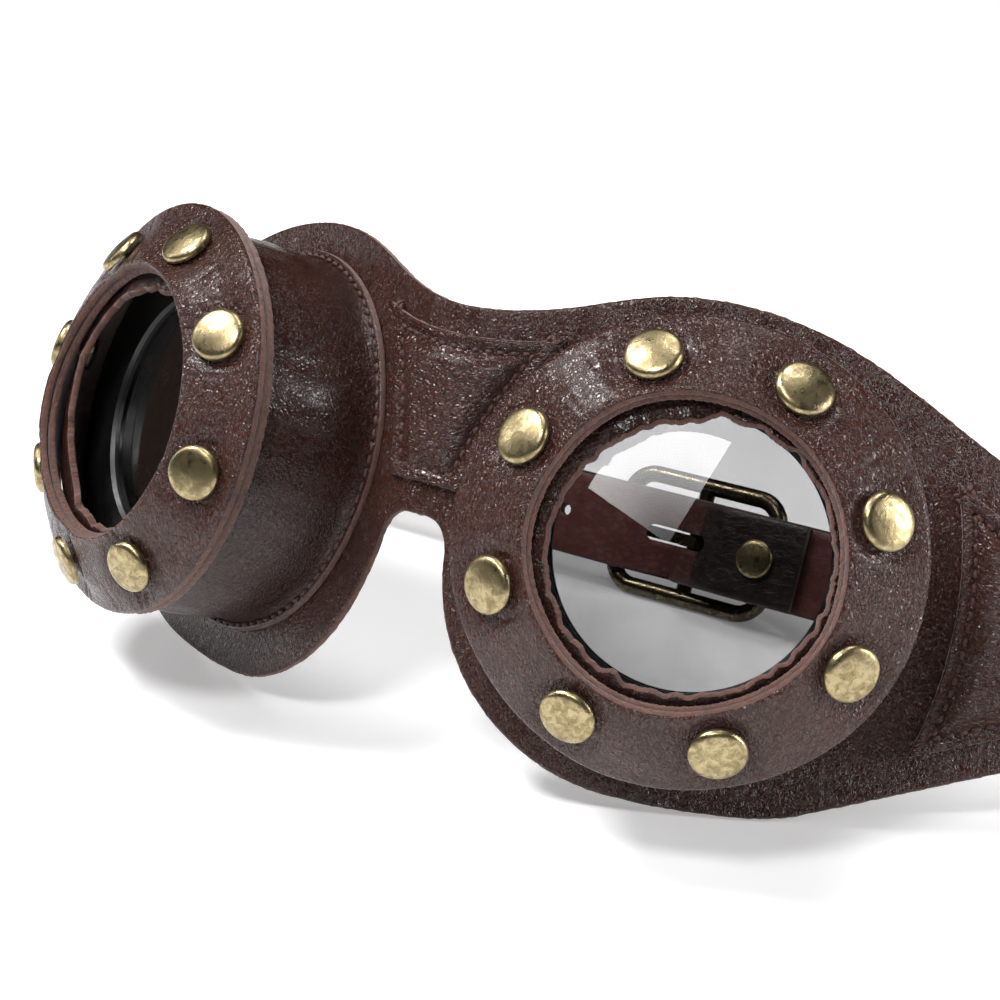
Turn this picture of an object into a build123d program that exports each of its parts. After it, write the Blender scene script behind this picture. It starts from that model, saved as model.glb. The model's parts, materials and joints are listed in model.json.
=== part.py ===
from build123d import *
import os
from math import asin, atan2, cos, hypot, radians, sin, tan

# Motorcycle goggles, millimetres.  The goggles rest on a table on the lower edge of the
# mask and on the buckle behind it.  +Z is up, the lenses face -Y, and the origin is on
# the table below the middle of the whole object.  "Left" is the wearer's left, +X.
#
# The mask and its strap are one band that stands upright and leans back, so everything
# is drawn in an upright frame (x across, y back, z up the band) that is then leaned.

# ---- driving dimensions ----
LEAN = 25.98  # how far the band leans back from the vertical, degrees
SEAT_Y = -11.972  # the upright frame's origin, measured from the table origin
SEAT_Z = 42.740

CUP_YAW = 22.9  # each half of the mask turns back from the middle, degrees
CUP_SPREAD = 47.4  # each cup's centre from the middle
BRIDGE_RADIUS = 28.0  # the mask's outer face at the bridge
PANEL = 1.6  # mask leather
LINING = 1.0
LINING_SCALE = 0.95  # the lining stops short of the mask's edge
LINING_START = 13.0  # it starts past the bridge bend, measured from the middle
EYE_HOLE = 33.0
LINING_EYE_HOLE = 32.0
PANEL_FLAT_END = 115.0  # along the flat half, measured from the middle
TEMPLE_RADIUS = 14.0  # the bend at each temple
TAPER_TOP = 0.467  # how fast the wing's two edges close in
TAPER_BOTTOM = 0.514
WING_TOP = 20.0  # the wing's edges where the bend starts
WING_BOTTOM = -21.9
TIP_RADIUS = 10.0
GAP = 0.05  # between pieces that lie on each other

RING_RADIUS = 39.0
RING_HOLE = 26.2
RING_BASE = 27.45  # height of the ring's outer edge above the mask
RING_SLOPE = 35.5  # degrees
RING_BULGE = 0.5
RING_LEATHER = 1.5
HEM_LEATHER = 1.3
WALL_RADIUS = 36.0
WALL = 1.4
WALL_BULGE = 0.6
FLANGE_RADIUS = 38.0
FLANGE = 1.45

HOUSING_RADIUS = 34.3
HOUSING_FRONT = 22.6
HOUSING_BACK = 10.0
HOUSING_SKIN = 1.5
LENS_OPENING = 23.4
LENS_RADIUS = 25.0
LENS_THICKNESS = 2.2
RETAINER_HEIGHT = 2.3

RIVETS_PER_RING = 8
RIVET_PITCH_RADIUS = 32.2
RIVET_RADIUS = 5.0
RIVET_DOME = 1.9
RIVET_RIM = 0.5
POST_RADIUS = 1.3
POST_HOLE = POST_RADIUS + 0.05
RIVET_BACK_RADIUS = 3.4
RIVET_BACK = 1.1
BACK_CLEARANCE = 0.35  # the flat back under the curved hem
LEFT_RIVET_PHASE = -23.3  # the first rivet's clock angle, from the top towards +X
RIGHT_RIVET_PHASE = 14.6

PATCH = 1.3
PATCH_RISE = 1.4
PATCH_SEAM = 3.2

STRAP = 1.8
STRAP_WIDTH = 18.0
STRAP_Y = 65.0  # the strap's rear run, in the upright frame
STRAP_BEND = 12.0
SWING_GAP = 0.3  # between the wing's tip and the strap that turns on it
RIVET_ABOVE_BEND = 8.5  # the temple rivet, past the end of the temple bend
TEMPLE_POST = 1.6
TEMPLE_BACK_RADIUS = 4.0

BUCKLE_X = 13.5  # centre bar
BAR_PITCH = 17.5  # centre bar to each end bar
WIRE_RADIUS = 1.75
CENTRE_BAR_RADIUS = 1.6
FRAME_HALF_HEIGHT = 12.0
FRAME_CORNER = 5.5
BAR_GAP = 1.3  # between the straps and the end bars
FOLD_END_X = 40.0
FOLD_RIVET_X = 30.5
FOLD_RIVET_RADIUS = 4.0
FOLD_RIVET_DOME = 1.6
FOLD_RIVET_BACK = 0.35  # thin, as the end bar passes just behind it
FOLD_START = 10.0  # where the two layers meet, past the centre bar
FOLD_NARROWING = 1.0  # the folded layer turns towards the bar this much sooner
FOLD_BEND = 3.5
FOLD_RIVET_BACK_RADIUS = 2.6
PRONG = 1.6
PRONG_WIDTH = 2.4
EYE_RADIUS = 3.3
PRONG_OVERHANG = 2.6  # the prong's tip, past the left bar
PRONG_CLEARANCE = 0.8  # its slot in the strap is this much wider
PRONG_SLOT_LENGTH = 11.0  # in the strap's loop round the centre bar
TAIL_END_X = 72.0
USED_HOLE_LENGTH = 10.0
HOLE_RADIUS = 1.2
FIRST_HOLE_X = -15.6
HOLE_SPACING = 11.0
HOLES = 4
KEEPER_X = 58.0
KEEPER_LENGTH = 9.0
KEEPER_SKIN = 1.5
KEEPER_CORNER = 1.8

os.makedirs("parts", exist_ok=True)

yaw = radians(CUP_YAW)
slope = radians(RING_SLOPE)
upright = Location((0, SEAT_Y, SEAT_Z), (-LEAN, 0, 0))


def leaned(plane):
    """A plane of the upright frame, placed in the part's own frame."""
    return Plane(upright * plane.location)


plan = leaned(Plane.XY)
middle = leaned(Plane.YZ)
front_view = leaned(Plane.XZ)

bend_half = BRIDGE_RADIUS * yaw  # half of the bridge bend, along the leather
bend_x = BRIDGE_RADIUS * sin(yaw)
cup_along = bend_half + (CUP_SPREAD - bend_x) / cos(yaw)
bridge_centre = (0, -CUP_SPREAD * tan(yaw) + BRIDGE_RADIUS / cos(yaw))


def finish(piece, name):
    piece.part.label = name
    export_step(piece.part, f"parts/{name}.step")


# ---- the sheet that the mask is cut from ----


def sheet_point(along, proud, side=1):
    """Plan point on the sheet: along it from the middle, and proud of its outer face."""
    if along <= bend_half:
        turn = along / BRIDGE_RADIUS
        reach = BRIDGE_RADIUS + proud
        return (side * reach * sin(turn), bridge_centre[1] - reach * cos(turn))
    flat = along - cup_along
    x = CUP_SPREAD + flat * cos(yaw) + proud * sin(yaw)
    return (side * x, flat * sin(yaw) - proud * cos(yaw))


temple_start = sheet_point(PANEL_FLAT_END, 0)
temple_centre = (
    temple_start[0] - TEMPLE_RADIUS * sin(yaw),
    temple_start[1] + TEMPLE_RADIUS * cos(yaw),
)
wing_x = temple_centre[0] + TEMPLE_RADIUS
rivet_y = temple_centre[1] + RIVET_ABOVE_BEND


def cup_plane(side):
    """At a cup's centre on the mask's outer face, z out along the cup, y up."""
    return leaned(
        Plane(
            origin=(side * CUP_SPREAD, 0, 0),
            x_dir=(cos(yaw), side * sin(yaw), 0),
            z_dir=(side * sin(yaw), -cos(yaw), 0),
        )
    )


def section_plane(plane):
    """The same place, x as before and y along the plane's normal, for revolving."""
    return Plane(origin=plane.origin, x_dir=plane.x_dir, z_dir=-plane.y_dir)


def mask_outline(stretch=1.0, shift=0.0):
    """Half of the mask's outline laid flat, from the middle to the temple bend."""

    def at(along, up):
        return (along * stretch - shift, up)

    with BuildSketch() as outline:
        with BuildLine():
            Spline(
                at(0, 32.6), at(20.5, 37.0), at(34, 42.0), at(50, 43.8), at(69, 40.6), at(88, 32.6),
                tangents=((1, 0), (1, -TAPER_TOP)),
            )
            Line(at(88, 32.6), at(PANEL_FLAT_END, WING_TOP))
            Line(at(PANEL_FLAT_END, WING_TOP), at(PANEL_FLAT_END, WING_BOTTOM))
            Line(at(PANEL_FLAT_END, WING_BOTTOM), at(80, -39.9))
            Spline(
                at(80, -39.9), at(64, -44.2), at(48, -45.5),
                tangents=((-1, -TAPER_BOTTOM), (-1, 0)),
            )
            ThreePointArc(at(48, -45.5), at(17.3, -33.2), at(7.3, -11.5))
            Spline(at(7.3, -11.5), at(5.4, -7.3), at(2.2, -5.8), tangents=((-0.2, 1), (-1, 0)))
            Line(at(2.2, -5.8), at(0, -5.8))
            Line(at(0, -5.8), at(0, 32.6))
        make_face()
    return outline.sketch


def bridge_band(front, back, reach, low, high):
    """The part of the sheet round the bridge, between two distances from its outer face."""
    with BuildPart() as band:
        with BuildSketch(plan.offset(low)):
            with BuildLine():
                for proud, way in ((front, 1), (back, -1)):
                    inner = sheet_point(bend_half, proud, -way)
                    outer = sheet_point(bend_half, proud, way)
                    ThreePointArc(inner, sheet_point(0, proud), outer)
                    if reach > bend_half:
                        Line(sheet_point(reach, proud, -way), inner)
                        Line(outer, sheet_point(reach, proud, way))
                for side in (-1, 1):
                    Line(sheet_point(reach, front, side), sheet_point(reach, back, side))
            make_face()
        extrude(amount=high - low)
    return band.part


def temple_end():
    """The left wing past the flat half: the temple bend and the round tip."""
    quarter = radians(90) - yaw
    with BuildPart() as wing_end:
        for step in range(5):
            turn = quarter * step / 4
            heading = yaw + turn
            top = WING_TOP - TAPER_TOP * TEMPLE_RADIUS * turn
            bottom = WING_BOTTOM + TAPER_BOTTOM * TEMPLE_RADIUS * turn
            across = Plane(
                origin=(
                    temple_centre[0] + TEMPLE_RADIUS * sin(heading),
                    temple_centre[1] - TEMPLE_RADIUS * cos(heading),
                    0,
                ),
                x_dir=(-sin(heading), cos(heading), 0),
                z_dir=(cos(heading), sin(heading), 0),
            )
            with BuildSketch(leaned(across)):
                with Locations((PANEL / 2, (top + bottom) / 2)):
                    Rectangle(PANEL, top - bottom)
        loft()
        with BuildSketch(leaned(Plane.YZ.offset(wing_x))):
            with BuildLine():
                Spline(
                    (temple_centre[1], top), (rivet_y, TIP_RADIUS),
                    tangents=((1, -TAPER_TOP), (1, 0)),
                )
                ThreePointArc(
                    (rivet_y, TIP_RADIUS), (rivet_y + TIP_RADIUS, 0), (rivet_y, -TIP_RADIUS)
                )
                Spline(
                    (rivet_y, -TIP_RADIUS), (temple_centre[1], bottom),
                    tangents=((-1, 0), (-1, -TAPER_BOTTOM)),
                )
                Line((temple_centre[1], bottom), (temple_centre[1], top))
            make_face()
            with Locations((rivet_y, 0)):
                Circle(TEMPLE_POST + GAP, mode=Mode.SUBTRACT)
        extrude(amount=-PANEL)
    return wing_end.part


with BuildPart() as bridge:
    add(bridge_band(0, -PANEL, bend_half, -60, 60))
    with BuildSketch(front_view):
        add(mask_outline(stretch=bend_x / bend_half))
        mirror(about=Plane.YZ)
    extrude(amount=60, both=True, mode=Mode.INTERSECT)

with BuildPart() as mask_panel:
    with BuildSketch(cup_plane(1)):
        add(mask_outline(shift=cup_along))
        with Locations(((bend_half + PANEL_FLAT_END) / 2 - cup_along, 0)):
            Rectangle(PANEL_FLAT_END - bend_half, 120, mode=Mode.INTERSECT)
        Circle(EYE_HOLE, mode=Mode.SUBTRACT)
    extrude(amount=-PANEL)
    add(temple_end())
    mirror(about=middle)
    add(bridge.part)
finish(mask_panel, "mask_panel")

for side_name, side in (("left", 1), ("right", -1)):
    with BuildPart() as lining:
        with BuildSketch(cup_plane(1).offset(-PANEL - GAP)):
            add(mask_outline(shift=cup_along))
            scale(by=LINING_SCALE)
            with Locations(((LINING_START + PANEL_FLAT_END) / 2 - cup_along, 0)):
                Rectangle(PANEL_FLAT_END - LINING_START, 120, mode=Mode.INTERSECT)
            Circle(LINING_EYE_HOLE, mode=Mode.SUBTRACT)
        extrude(amount=-LINING)
        if side < 0:
            mirror(about=middle)
            split(bisect_by=middle, keep=Keep.BOTTOM)
    finish(lining, f"{side_name}_lining")


# ---- the padded patches sewn on the bridge and the temples ----


def bridge_patch_outline():
    with BuildSketch() as outline:
        with BuildLine():
            ThreePointArc((-18.6, 30.6), (0, 27.2), (18.6, 30.6))
            ThreePointArc((18.6, 30.6), (11.8, 16.2), (7.2, 0))
            Line((7.2, 0), (-7.2, 0))
            ThreePointArc((-7.2, 0), (-11.8, 16.2), (-18.6, 30.6))
        make_face()
    return outline.sketch


def bridge_pad(front, back, inset):
    """A layer of the bridge patch between two distances from the mask's outer face."""
    with BuildPart() as layer:
        add(bridge_band(front, back, 24.0, -10, 40))
        with BuildSketch(front_view):
            add(bridge_patch_outline())
            if inset:
                offset(amount=-inset, kind=Kind.INTERSECTION)
        extrude(amount=60, both=True, mode=Mode.INTERSECT)
    return layer.part


with BuildPart() as bridge_patch:
    add(bridge_pad(GAP + PATCH, GAP, 0))
    add(bridge_pad(GAP + PATCH + PATCH_RISE, GAP, PATCH_SEAM))
    add(bridge_pad(GAP + PATCH_RISE, -PANEL, PATCH_SEAM + PATCH), mode=Mode.SUBTRACT)
finish(bridge_patch, "bridge_patch")

with BuildPart() as bridge_padding:
    add(bridge_pad(PATCH_RISE, GAP, PATCH_SEAM + PATCH + GAP))
finish(bridge_padding, "bridge_padding")


def temple_patch_outline():
    """Laid flat, measured from the cup's centre."""
    with BuildSketch() as outline:
        with BuildLine():
            ThreePointArc((40.8, 22.6), (46.3, -3.0), (43.9, -25.5))
            Line((43.9, -25.5), (62.6, -16.2))
            Line((62.6, -16.2), (62.6, 12.0))
            Line((62.6, 12.0), (40.8, 22.6))
        make_face()
    return outline.sketch


with BuildPart() as left_temple_patch:
    with BuildSketch(cup_plane(1).offset(GAP)):
        add(temple_patch_outline())
    extrude(amount=PATCH)
    with BuildSketch(cup_plane(1).offset(GAP)):
        add(temple_patch_outline())
        offset(amount=-PATCH_SEAM, kind=Kind.INTERSECTION)
    extrude(amount=PATCH + PATCH_RISE)
    with BuildSketch(cup_plane(1).offset(GAP)):
        add(temple_patch_outline())
        offset(amount=-PATCH_SEAM - PATCH, kind=Kind.INTERSECTION)
    extrude(amount=PATCH_RISE, mode=Mode.SUBTRACT)
finish(left_temple_patch, "left_temple_patch")

with BuildPart() as right_temple_patch:
    mirror(left_temple_patch.part, about=middle)
finish(right_temple_patch, "right_temple_patch")

with BuildPart() as left_temple_padding:
    with BuildSketch(cup_plane(1).offset(GAP)):
        add(temple_patch_outline())
        offset(amount=-PATCH_SEAM - PATCH - GAP, kind=Kind.INTERSECTION)
    extrude(amount=PATCH_RISE - GAP)
finish(left_temple_padding, "left_temple_padding")

with BuildPart() as right_temple_padding:
    mirror(left_temple_padding.part, about=middle)
finish(right_temple_padding, "right_temple_padding")


# ---- the cups ----


def ring_point(radius, depth):
    """Radius and height of a point under the ring's straight slope."""
    height = RING_BASE + (RING_RADIUS - radius) * tan(slope)
    return (radius - depth * sin(slope), height - depth * cos(slope))


def domed_rivet(radius, dome, post, length):
    """A rivet standing on the origin with its post down."""
    with BuildPart() as rivet:
        with BuildSketch(Plane.XZ):
            with BuildLine():
                Polyline((0, dome), (0, -length), (post, -length), (post, 0), (radius, 0))
                Line((radius, 0), (radius, RIVET_RIM))
                Spline(
                    (radius, RIVET_RIM), (0.62 * radius, 0.85 * dome), (0, dome),
                    tangents=((-0.2, 1), (-1, 0)),
                )
            make_face()
        revolve(axis=Axis.Z)
    return rivet.part


def rivet_back(radius, height, hole, edge=0.3):
    """The washer that closes a rivet, hanging down from the origin."""
    with BuildPart() as back:
        with BuildSketch(Plane.XY):
            Circle(radius)
            Circle(hole, mode=Mode.SUBTRACT)
        extrude(amount=-height)
        chamfer(back.faces().sort_by(Axis.Z)[0].edges(), edge)
    return back.part


def rivet_places(cup, phase, depth):
    """Where the rivets stand round a ring, at a depth under its outer face."""
    radius, height = ring_point(RIVET_PITCH_RADIUS, depth - RING_BULGE)
    places = []
    for count in range(RIVETS_PER_RING):
        clock = radians(phase + 360 / RIVETS_PER_RING * count)
        stand = Plane(
            origin=(radius * sin(clock), radius * cos(clock), height),
            x_dir=(cos(clock), -sin(clock), 0),
            z_dir=(sin(slope) * sin(clock), sin(slope) * cos(clock), cos(slope)),
        )
        places.append(cup.location * stand.location)
    return places


ring_stack = 2 * RING_LEATHER + HEM_LEATHER + 3 * GAP
ring_rivet = domed_rivet(RIVET_RADIUS, RIVET_DOME, POST_RADIUS, ring_stack + BACK_CLEARANCE + RIVET_BACK)
ring_rivet_back = rivet_back(RIVET_BACK_RADIUS, RIVET_BACK, POST_HOLE)

for side_name, side, phase in (("left", 1, LEFT_RIVET_PHASE), ("right", -1, RIGHT_RIVET_PHASE)):
    cup = cup_plane(side)
    section = section_plane(cup)
    cup_axis = Axis(cup.origin, cup.z_dir)
    places = rivet_places(cup, phase, 0)

    for layer_name, outer, hole, depth in (
        ("ring_face", RING_RADIUS, RING_HOLE, 0),
        ("ring_backing", RING_RADIUS - 0.2, RING_HOLE + 0.2, RING_LEATHER + GAP),
    ):
        below = depth + RING_LEATHER
        halfway = (RING_RADIUS + RING_HOLE) / 2
        with BuildPart() as ring:
            with BuildSketch(section):
                with BuildLine():
                    ThreePointArc(
                        ring_point(outer, depth),
                        ring_point(halfway, depth - RING_BULGE),
                        ring_point(hole, depth),
                    )
                    Line(ring_point(hole, depth), ring_point(hole, below))
                    ThreePointArc(
                        ring_point(hole, below),
                        ring_point(halfway, below - RING_BULGE),
                        ring_point(outer, below),
                    )
                    Line(ring_point(outer, below), ring_point(outer, depth))
                make_face()
            revolve(axis=cup_axis)
            with Locations(*places):
                Cylinder(POST_HOLE, 2 * ring_stack, mode=Mode.SUBTRACT)
        finish(ring, f"{side_name}_{layer_name}")

    hem_top = 2 * (RING_LEATHER + GAP)
    hem_under = hem_top + HEM_LEATHER
    inside = WALL_RADIUS - WALL
    with BuildPart() as cup_wall:
        with BuildSketch(section):
            with BuildLine():
                top_outer = ring_point(WALL_RADIUS + hem_top * sin(slope), hem_top)
                top_inner = ring_point(inside + hem_under * sin(slope), hem_under)
                halfway = (WALL_RADIUS + RING_HOLE) / 2
                Line((FLANGE_RADIUS, GAP), (FLANGE_RADIUS, FLANGE))
                Line((FLANGE_RADIUS, FLANGE), (WALL_RADIUS, FLANGE))
                ThreePointArc(
                    (WALL_RADIUS, FLANGE), (WALL_RADIUS + WALL_BULGE, 0.45 * RING_BASE), top_outer
                )
                ThreePointArc(
                    top_outer,
                    ring_point(halfway, hem_top - 0.8 * RING_BULGE),
                    ring_point(RING_HOLE, hem_top),
                )
                Line(ring_point(RING_HOLE, hem_top), ring_point(RING_HOLE, hem_under))
                ThreePointArc(
                    ring_point(RING_HOLE, hem_under),
                    ring_point(halfway, hem_under - 0.8 * RING_BULGE),
                    top_inner,
                )
                ThreePointArc(top_inner, (inside + WALL_BULGE, 0.45 * RING_BASE), (inside, GAP))
                Line((inside, GAP), (FLANGE_RADIUS, GAP))
            make_face()
        revolve(axis=cup_axis)
        with Locations(*places):
            Cylinder(POST_HOLE, 2 * ring_stack + 1, mode=Mode.SUBTRACT)
    finish(cup_wall, f"{side_name}_cup_wall")

    with BuildPart() as ring_rivets:
        with Locations(*places):
            add(ring_rivet)
    finish(ring_rivets, f"{side_name}_ring_rivets")

    with BuildPart() as ring_rivet_backs:
        with Locations(*rivet_places(cup, phase, ring_stack + BACK_CLEARANCE)):
            add(ring_rivet_back)
    finish(ring_rivet_backs, f"{side_name}_ring_rivet_backs")

    seat = HOUSING_FRONT - HOUSING_SKIN
    seat_end = seat - LENS_THICKNESS - RETAINER_HEIGHT - 1.0
    with BuildPart() as lens_housing:
        with BuildSketch(section):
            with BuildLine():
                Polyline(
                    (HOUSING_RADIUS, HOUSING_BACK),
                    (HOUSING_RADIUS, HOUSING_FRONT),
                    (LENS_OPENING + 0.6, HOUSING_FRONT),
                    (LENS_OPENING, seat + 0.8),
                    (LENS_OPENING, seat),
                    (LENS_RADIUS + GAP, seat),
                    (LENS_RADIUS + GAP, seat_end),
                    (LENS_RADIUS + HOUSING_SKIN, seat_end),
                    (LENS_RADIUS + HOUSING_SKIN, seat),
                    (HOUSING_RADIUS - HOUSING_SKIN, seat),
                    (HOUSING_RADIUS - HOUSING_SKIN, HOUSING_BACK),
                    close=True,
                )
            make_face()
        revolve(axis=cup_axis)
    finish(lens_housing, f"{side_name}_lens_housing")

    with BuildPart() as lens:
        with BuildSketch(cup.offset(seat - GAP)):
            Circle(LENS_RADIUS)
        extrude(amount=-LENS_THICKNESS)
        chamfer(lens.edges().filter_by(GeomType.CIRCLE), 0.3)
    finish(lens, f"{side_name}_lens")

    with BuildPart() as lens_retainer:
        with BuildSketch(cup.offset(seat - 2 * GAP - LENS_THICKNESS)):
            Circle(LENS_RADIUS)
            Circle(LENS_OPENING, mode=Mode.SUBTRACT)
        extrude(amount=-RETAINER_HEIGHT)
        chamfer(lens_retainer.faces().sort_by(cup_axis)[0].edges(), 0.4)
    finish(lens_retainer, f"{side_name}_lens_retainer")


# ---- the strap: a short left half with the buckle, a long right half with the holes ----

strap_x = wing_x - PANEL - SWING_GAP - STRAP / 2
strap_tip = STRAP_WIDTH / 2
frame_y = STRAP_Y + STRAP / 2 + BAR_GAP + WIRE_RADIUS
left_bar = (BUCKLE_X - BAR_PITCH, frame_y)
centre_bar = (BUCKLE_X, frame_y)
right_bar = (BUCKLE_X + BAR_PITCH, frame_y)
fold_y = STRAP_Y - STRAP - 2 * GAP
tail_y = STRAP_Y + STRAP + 4 * GAP
wrap_radius = CENTRE_BAR_RADIUS + 3 * GAP + STRAP / 2


def bend_round(bar, radius, angle_in, angle_out):
    """Corner between two runs that pass a bar: positive radius behind it, negative inside."""
    halfway = (angle_in + angle_out) / 2
    reach = radius / cos((angle_out - angle_in) / 2)
    return (bar[0] - reach * sin(halfway), bar[1] + reach * cos(halfway))


def tangent_to_bar(start, side):
    """Where a run from start touches the strap's loop round the centre bar."""
    dx = centre_bar[0] - start[0]
    dy = centre_bar[1] - start[1]
    angle = atan2(dy, dx) + side * asin(wrap_radius / hypot(dx, dy))
    run = (dx**2 + dy**2 - wrap_radius**2) ** 0.5
    return (start[0] + run * cos(angle), start[1] + run * sin(angle))


def round_temple_end(strap_side):
    """What the strap's square end loses round the temple rivet."""
    with BuildPart() as corners:
        with BuildSketch(leaned(Plane.YZ.offset(strap_side * strap_x))):
            with Locations((rivet_y - strap_tip, 0)):
                Rectangle(2 * strap_tip, 2 * strap_tip + 1)
            with Locations((rivet_y, 0)):
                Circle(strap_tip, mode=Mode.SUBTRACT)
        extrude(amount=STRAP, both=True)
        with BuildSketch(leaned(Plane.YZ.offset(strap_side * strap_x))):
            with Locations((rivet_y, 0)):
                Circle(TEMPLE_POST + GAP)
        extrude(amount=STRAP, both=True)
    return corners.part


main_corner = (BUCKLE_X + FOLD_START, STRAP_Y)
fold_corner = (BUCKLE_X + FOLD_START - FOLD_NARROWING, fold_y)
loop_start = tangent_to_bar(main_corner, -1)
loop_end = tangent_to_bar(fold_corner, 1)
with BuildPart() as left_strap:
    with BuildSketch(plan.offset(-STRAP_WIDTH / 2)):
        with BuildLine():
            FilletPolyline(
                (strap_x, rivet_y - strap_tip), (strap_x, STRAP_Y), main_corner, loop_start,
                radius=[STRAP_BEND, FOLD_BEND],
            )
            ThreePointArc(loop_start, (centre_bar[0] - wrap_radius, frame_y), loop_end)
            FilletPolyline(loop_end, fold_corner, (FOLD_END_X, fold_y), radius=FOLD_BEND + 0.5)
        trace(line_width=STRAP)
    extrude(amount=STRAP_WIDTH)
    add(round_temple_end(1), mode=Mode.SUBTRACT)
    with BuildSketch(front_view):
        with Locations((FOLD_RIVET_X, 0)):
            Circle(POST_HOLE)
        with Locations((BUCKLE_X - 1.0, 0)):
            Rectangle(PRONG_SLOT_LENGTH, PRONG_WIDTH + PRONG_CLEARANCE + 0.2)
    extrude(amount=-100, mode=Mode.SUBTRACT)
finish(left_strap, "left_strap")

under_radius = WIRE_RADIUS + BAR_GAP + STRAP / 2
over_radius = wrap_radius + STRAP + SWING_GAP
rise = asin((under_radius + over_radius) / BAR_PITCH)
fall = -asin((over_radius - under_radius) / BAR_PITCH)
drop = radians(-22)
under_left_bar = bend_round(left_bar, -under_radius, 0, rise)
over_centre_bar = bend_round(centre_bar, over_radius, rise, fall)
over_right_bar = bend_round(right_bar, under_radius, fall, drop)
tail_start = (over_right_bar[0] + (tail_y - over_right_bar[1]) / tan(drop), tail_y)

prong_start = (centre_bar[0] - 1.5, frame_y + 1.0)
prong_end = (left_bar[0] - PRONG_OVERHANG, frame_y + WIRE_RADIUS + PRONG / 2 + 0.3)
prong_slope = (prong_start[1] - prong_end[1]) / (prong_start[0] - prong_end[0])
slot_x = (
    (under_left_bar[1] - tan(rise) * under_left_bar[0] - prong_end[1] + prong_slope * prong_end[0])
    / (prong_slope - tan(rise))
)
slot_y = under_left_bar[1] + tan(rise) * (slot_x - under_left_bar[0])
with BuildPart() as right_strap:
    with BuildSketch(plan.offset(-STRAP_WIDTH / 2)):
        with BuildLine():
            FilletPolyline(
                (-strap_x, rivet_y - strap_tip), (-strap_x, STRAP_Y),
                under_left_bar, over_centre_bar, over_right_bar, tail_start, (TAIL_END_X, tail_y),
                radius=[STRAP_BEND, under_radius, over_radius, under_radius, 10.0],
            )
        trace(line_width=STRAP)
    extrude(amount=STRAP_WIDTH)
    add(round_temple_end(-1), mode=Mode.SUBTRACT)
    with BuildSketch(front_view):
        with Locations((TAIL_END_X, 0)):
            Rectangle(2 * strap_tip, 2 * strap_tip + 1)
        with Locations((TAIL_END_X - strap_tip, 0)):
            Circle(strap_tip, mode=Mode.SUBTRACT)
        for count in range(HOLES):
            with Locations((FIRST_HOLE_X - HOLE_SPACING * count, 0)):
                Circle(HOLE_RADIUS)
        with Locations((TAIL_END_X - 2.0 * HOLE_SPACING, 0)):
            Circle(HOLE_RADIUS)
    extrude(amount=-100, mode=Mode.SUBTRACT)
    used_hole = Plane(
        origin=(slot_x, slot_y, 0), x_dir=(cos(rise), sin(rise), 0), z_dir=(sin(rise), -cos(rise), 0)
    )
    with BuildSketch(leaned(used_hole)):
        SlotOverall(USED_HOLE_LENGTH, PRONG_WIDTH + PRONG_CLEARANCE)
    extrude(amount=STRAP, both=True, mode=Mode.SUBTRACT)
finish(right_strap, "right_strap")

with BuildPart() as buckle_frame:
    loop_plane = leaned(Plane(origin=(BUCKLE_X, frame_y, 0), x_dir=(1, 0, 0), z_dir=(0, -1, 0)))
    with BuildLine(loop_plane) as loop:
        FilletPolyline(
            (-BAR_PITCH, -FRAME_HALF_HEIGHT), (BAR_PITCH, -FRAME_HALF_HEIGHT),
            (BAR_PITCH, FRAME_HALF_HEIGHT), (-BAR_PITCH, FRAME_HALF_HEIGHT),
            radius=FRAME_CORNER, close=True,
        )
    with BuildSketch(Plane(origin=loop.line @ 0, z_dir=loop.line % 0)):
        Circle(WIRE_RADIUS)
    sweep()
    with BuildSketch(plan.offset(-FRAME_HALF_HEIGHT)):
        with Locations(centre_bar):
            Circle(CENTRE_BAR_RADIUS)
    extrude(amount=2 * FRAME_HALF_HEIGHT)
finish(buckle_frame, "buckle_frame")

with BuildPart() as buckle_prong:
    with BuildSketch(plan.offset(-PRONG_WIDTH / 2)):
        with BuildLine():
            Line(prong_start, prong_end)
        trace(line_width=PRONG)
        with Locations(centre_bar):
            Circle(EYE_RADIUS)
            Circle(CENTRE_BAR_RADIUS + 2 * GAP, mode=Mode.SUBTRACT)
    extrude(amount=PRONG_WIDTH)
finish(buckle_prong, "buckle_prong")

keeper_inside = STRAP_Y - STRAP / 2 - SWING_GAP
keeper_outside = tail_y + STRAP / 2 + SWING_GAP
with BuildPart() as strap_keeper:
    with BuildSketch(leaned(Plane.YZ.offset(KEEPER_X - KEEPER_LENGTH / 2))):
        with Locations(((keeper_inside + keeper_outside) / 2, 0)):
            RectangleRounded(
                keeper_outside - keeper_inside + 2 * KEEPER_SKIN,
                STRAP_WIDTH + 2 * (SWING_GAP + KEEPER_SKIN),
                KEEPER_CORNER,
            )
            Rectangle(
                keeper_outside - keeper_inside,
                STRAP_WIDTH + 2 * SWING_GAP,
                mode=Mode.SUBTRACT,
            )
    extrude(amount=KEEPER_LENGTH)
finish(strap_keeper, "strap_keeper")


# ---- the rivets in the straps ----

fold_stack = 2 * STRAP + 2 * GAP
with BuildPart() as fold_rivet:
    inner_face = Plane(
        origin=(FOLD_RIVET_X, fold_y - STRAP / 2, 0), x_dir=(1, 0, 0), z_dir=(0, -1, 0)
    )
    with Locations(leaned(inner_face).location):
        add(domed_rivet(FOLD_RIVET_RADIUS, FOLD_RIVET_DOME, POST_RADIUS, fold_stack + FOLD_RIVET_BACK))
    outer_face = inner_face.offset(-fold_stack - GAP)
    with Locations(leaned(outer_face).location):
        add(rivet_back(FOLD_RIVET_BACK_RADIUS, FOLD_RIVET_BACK, POST_HOLE, edge=0.1))
finish(fold_rivet, "fold_rivet")

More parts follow.
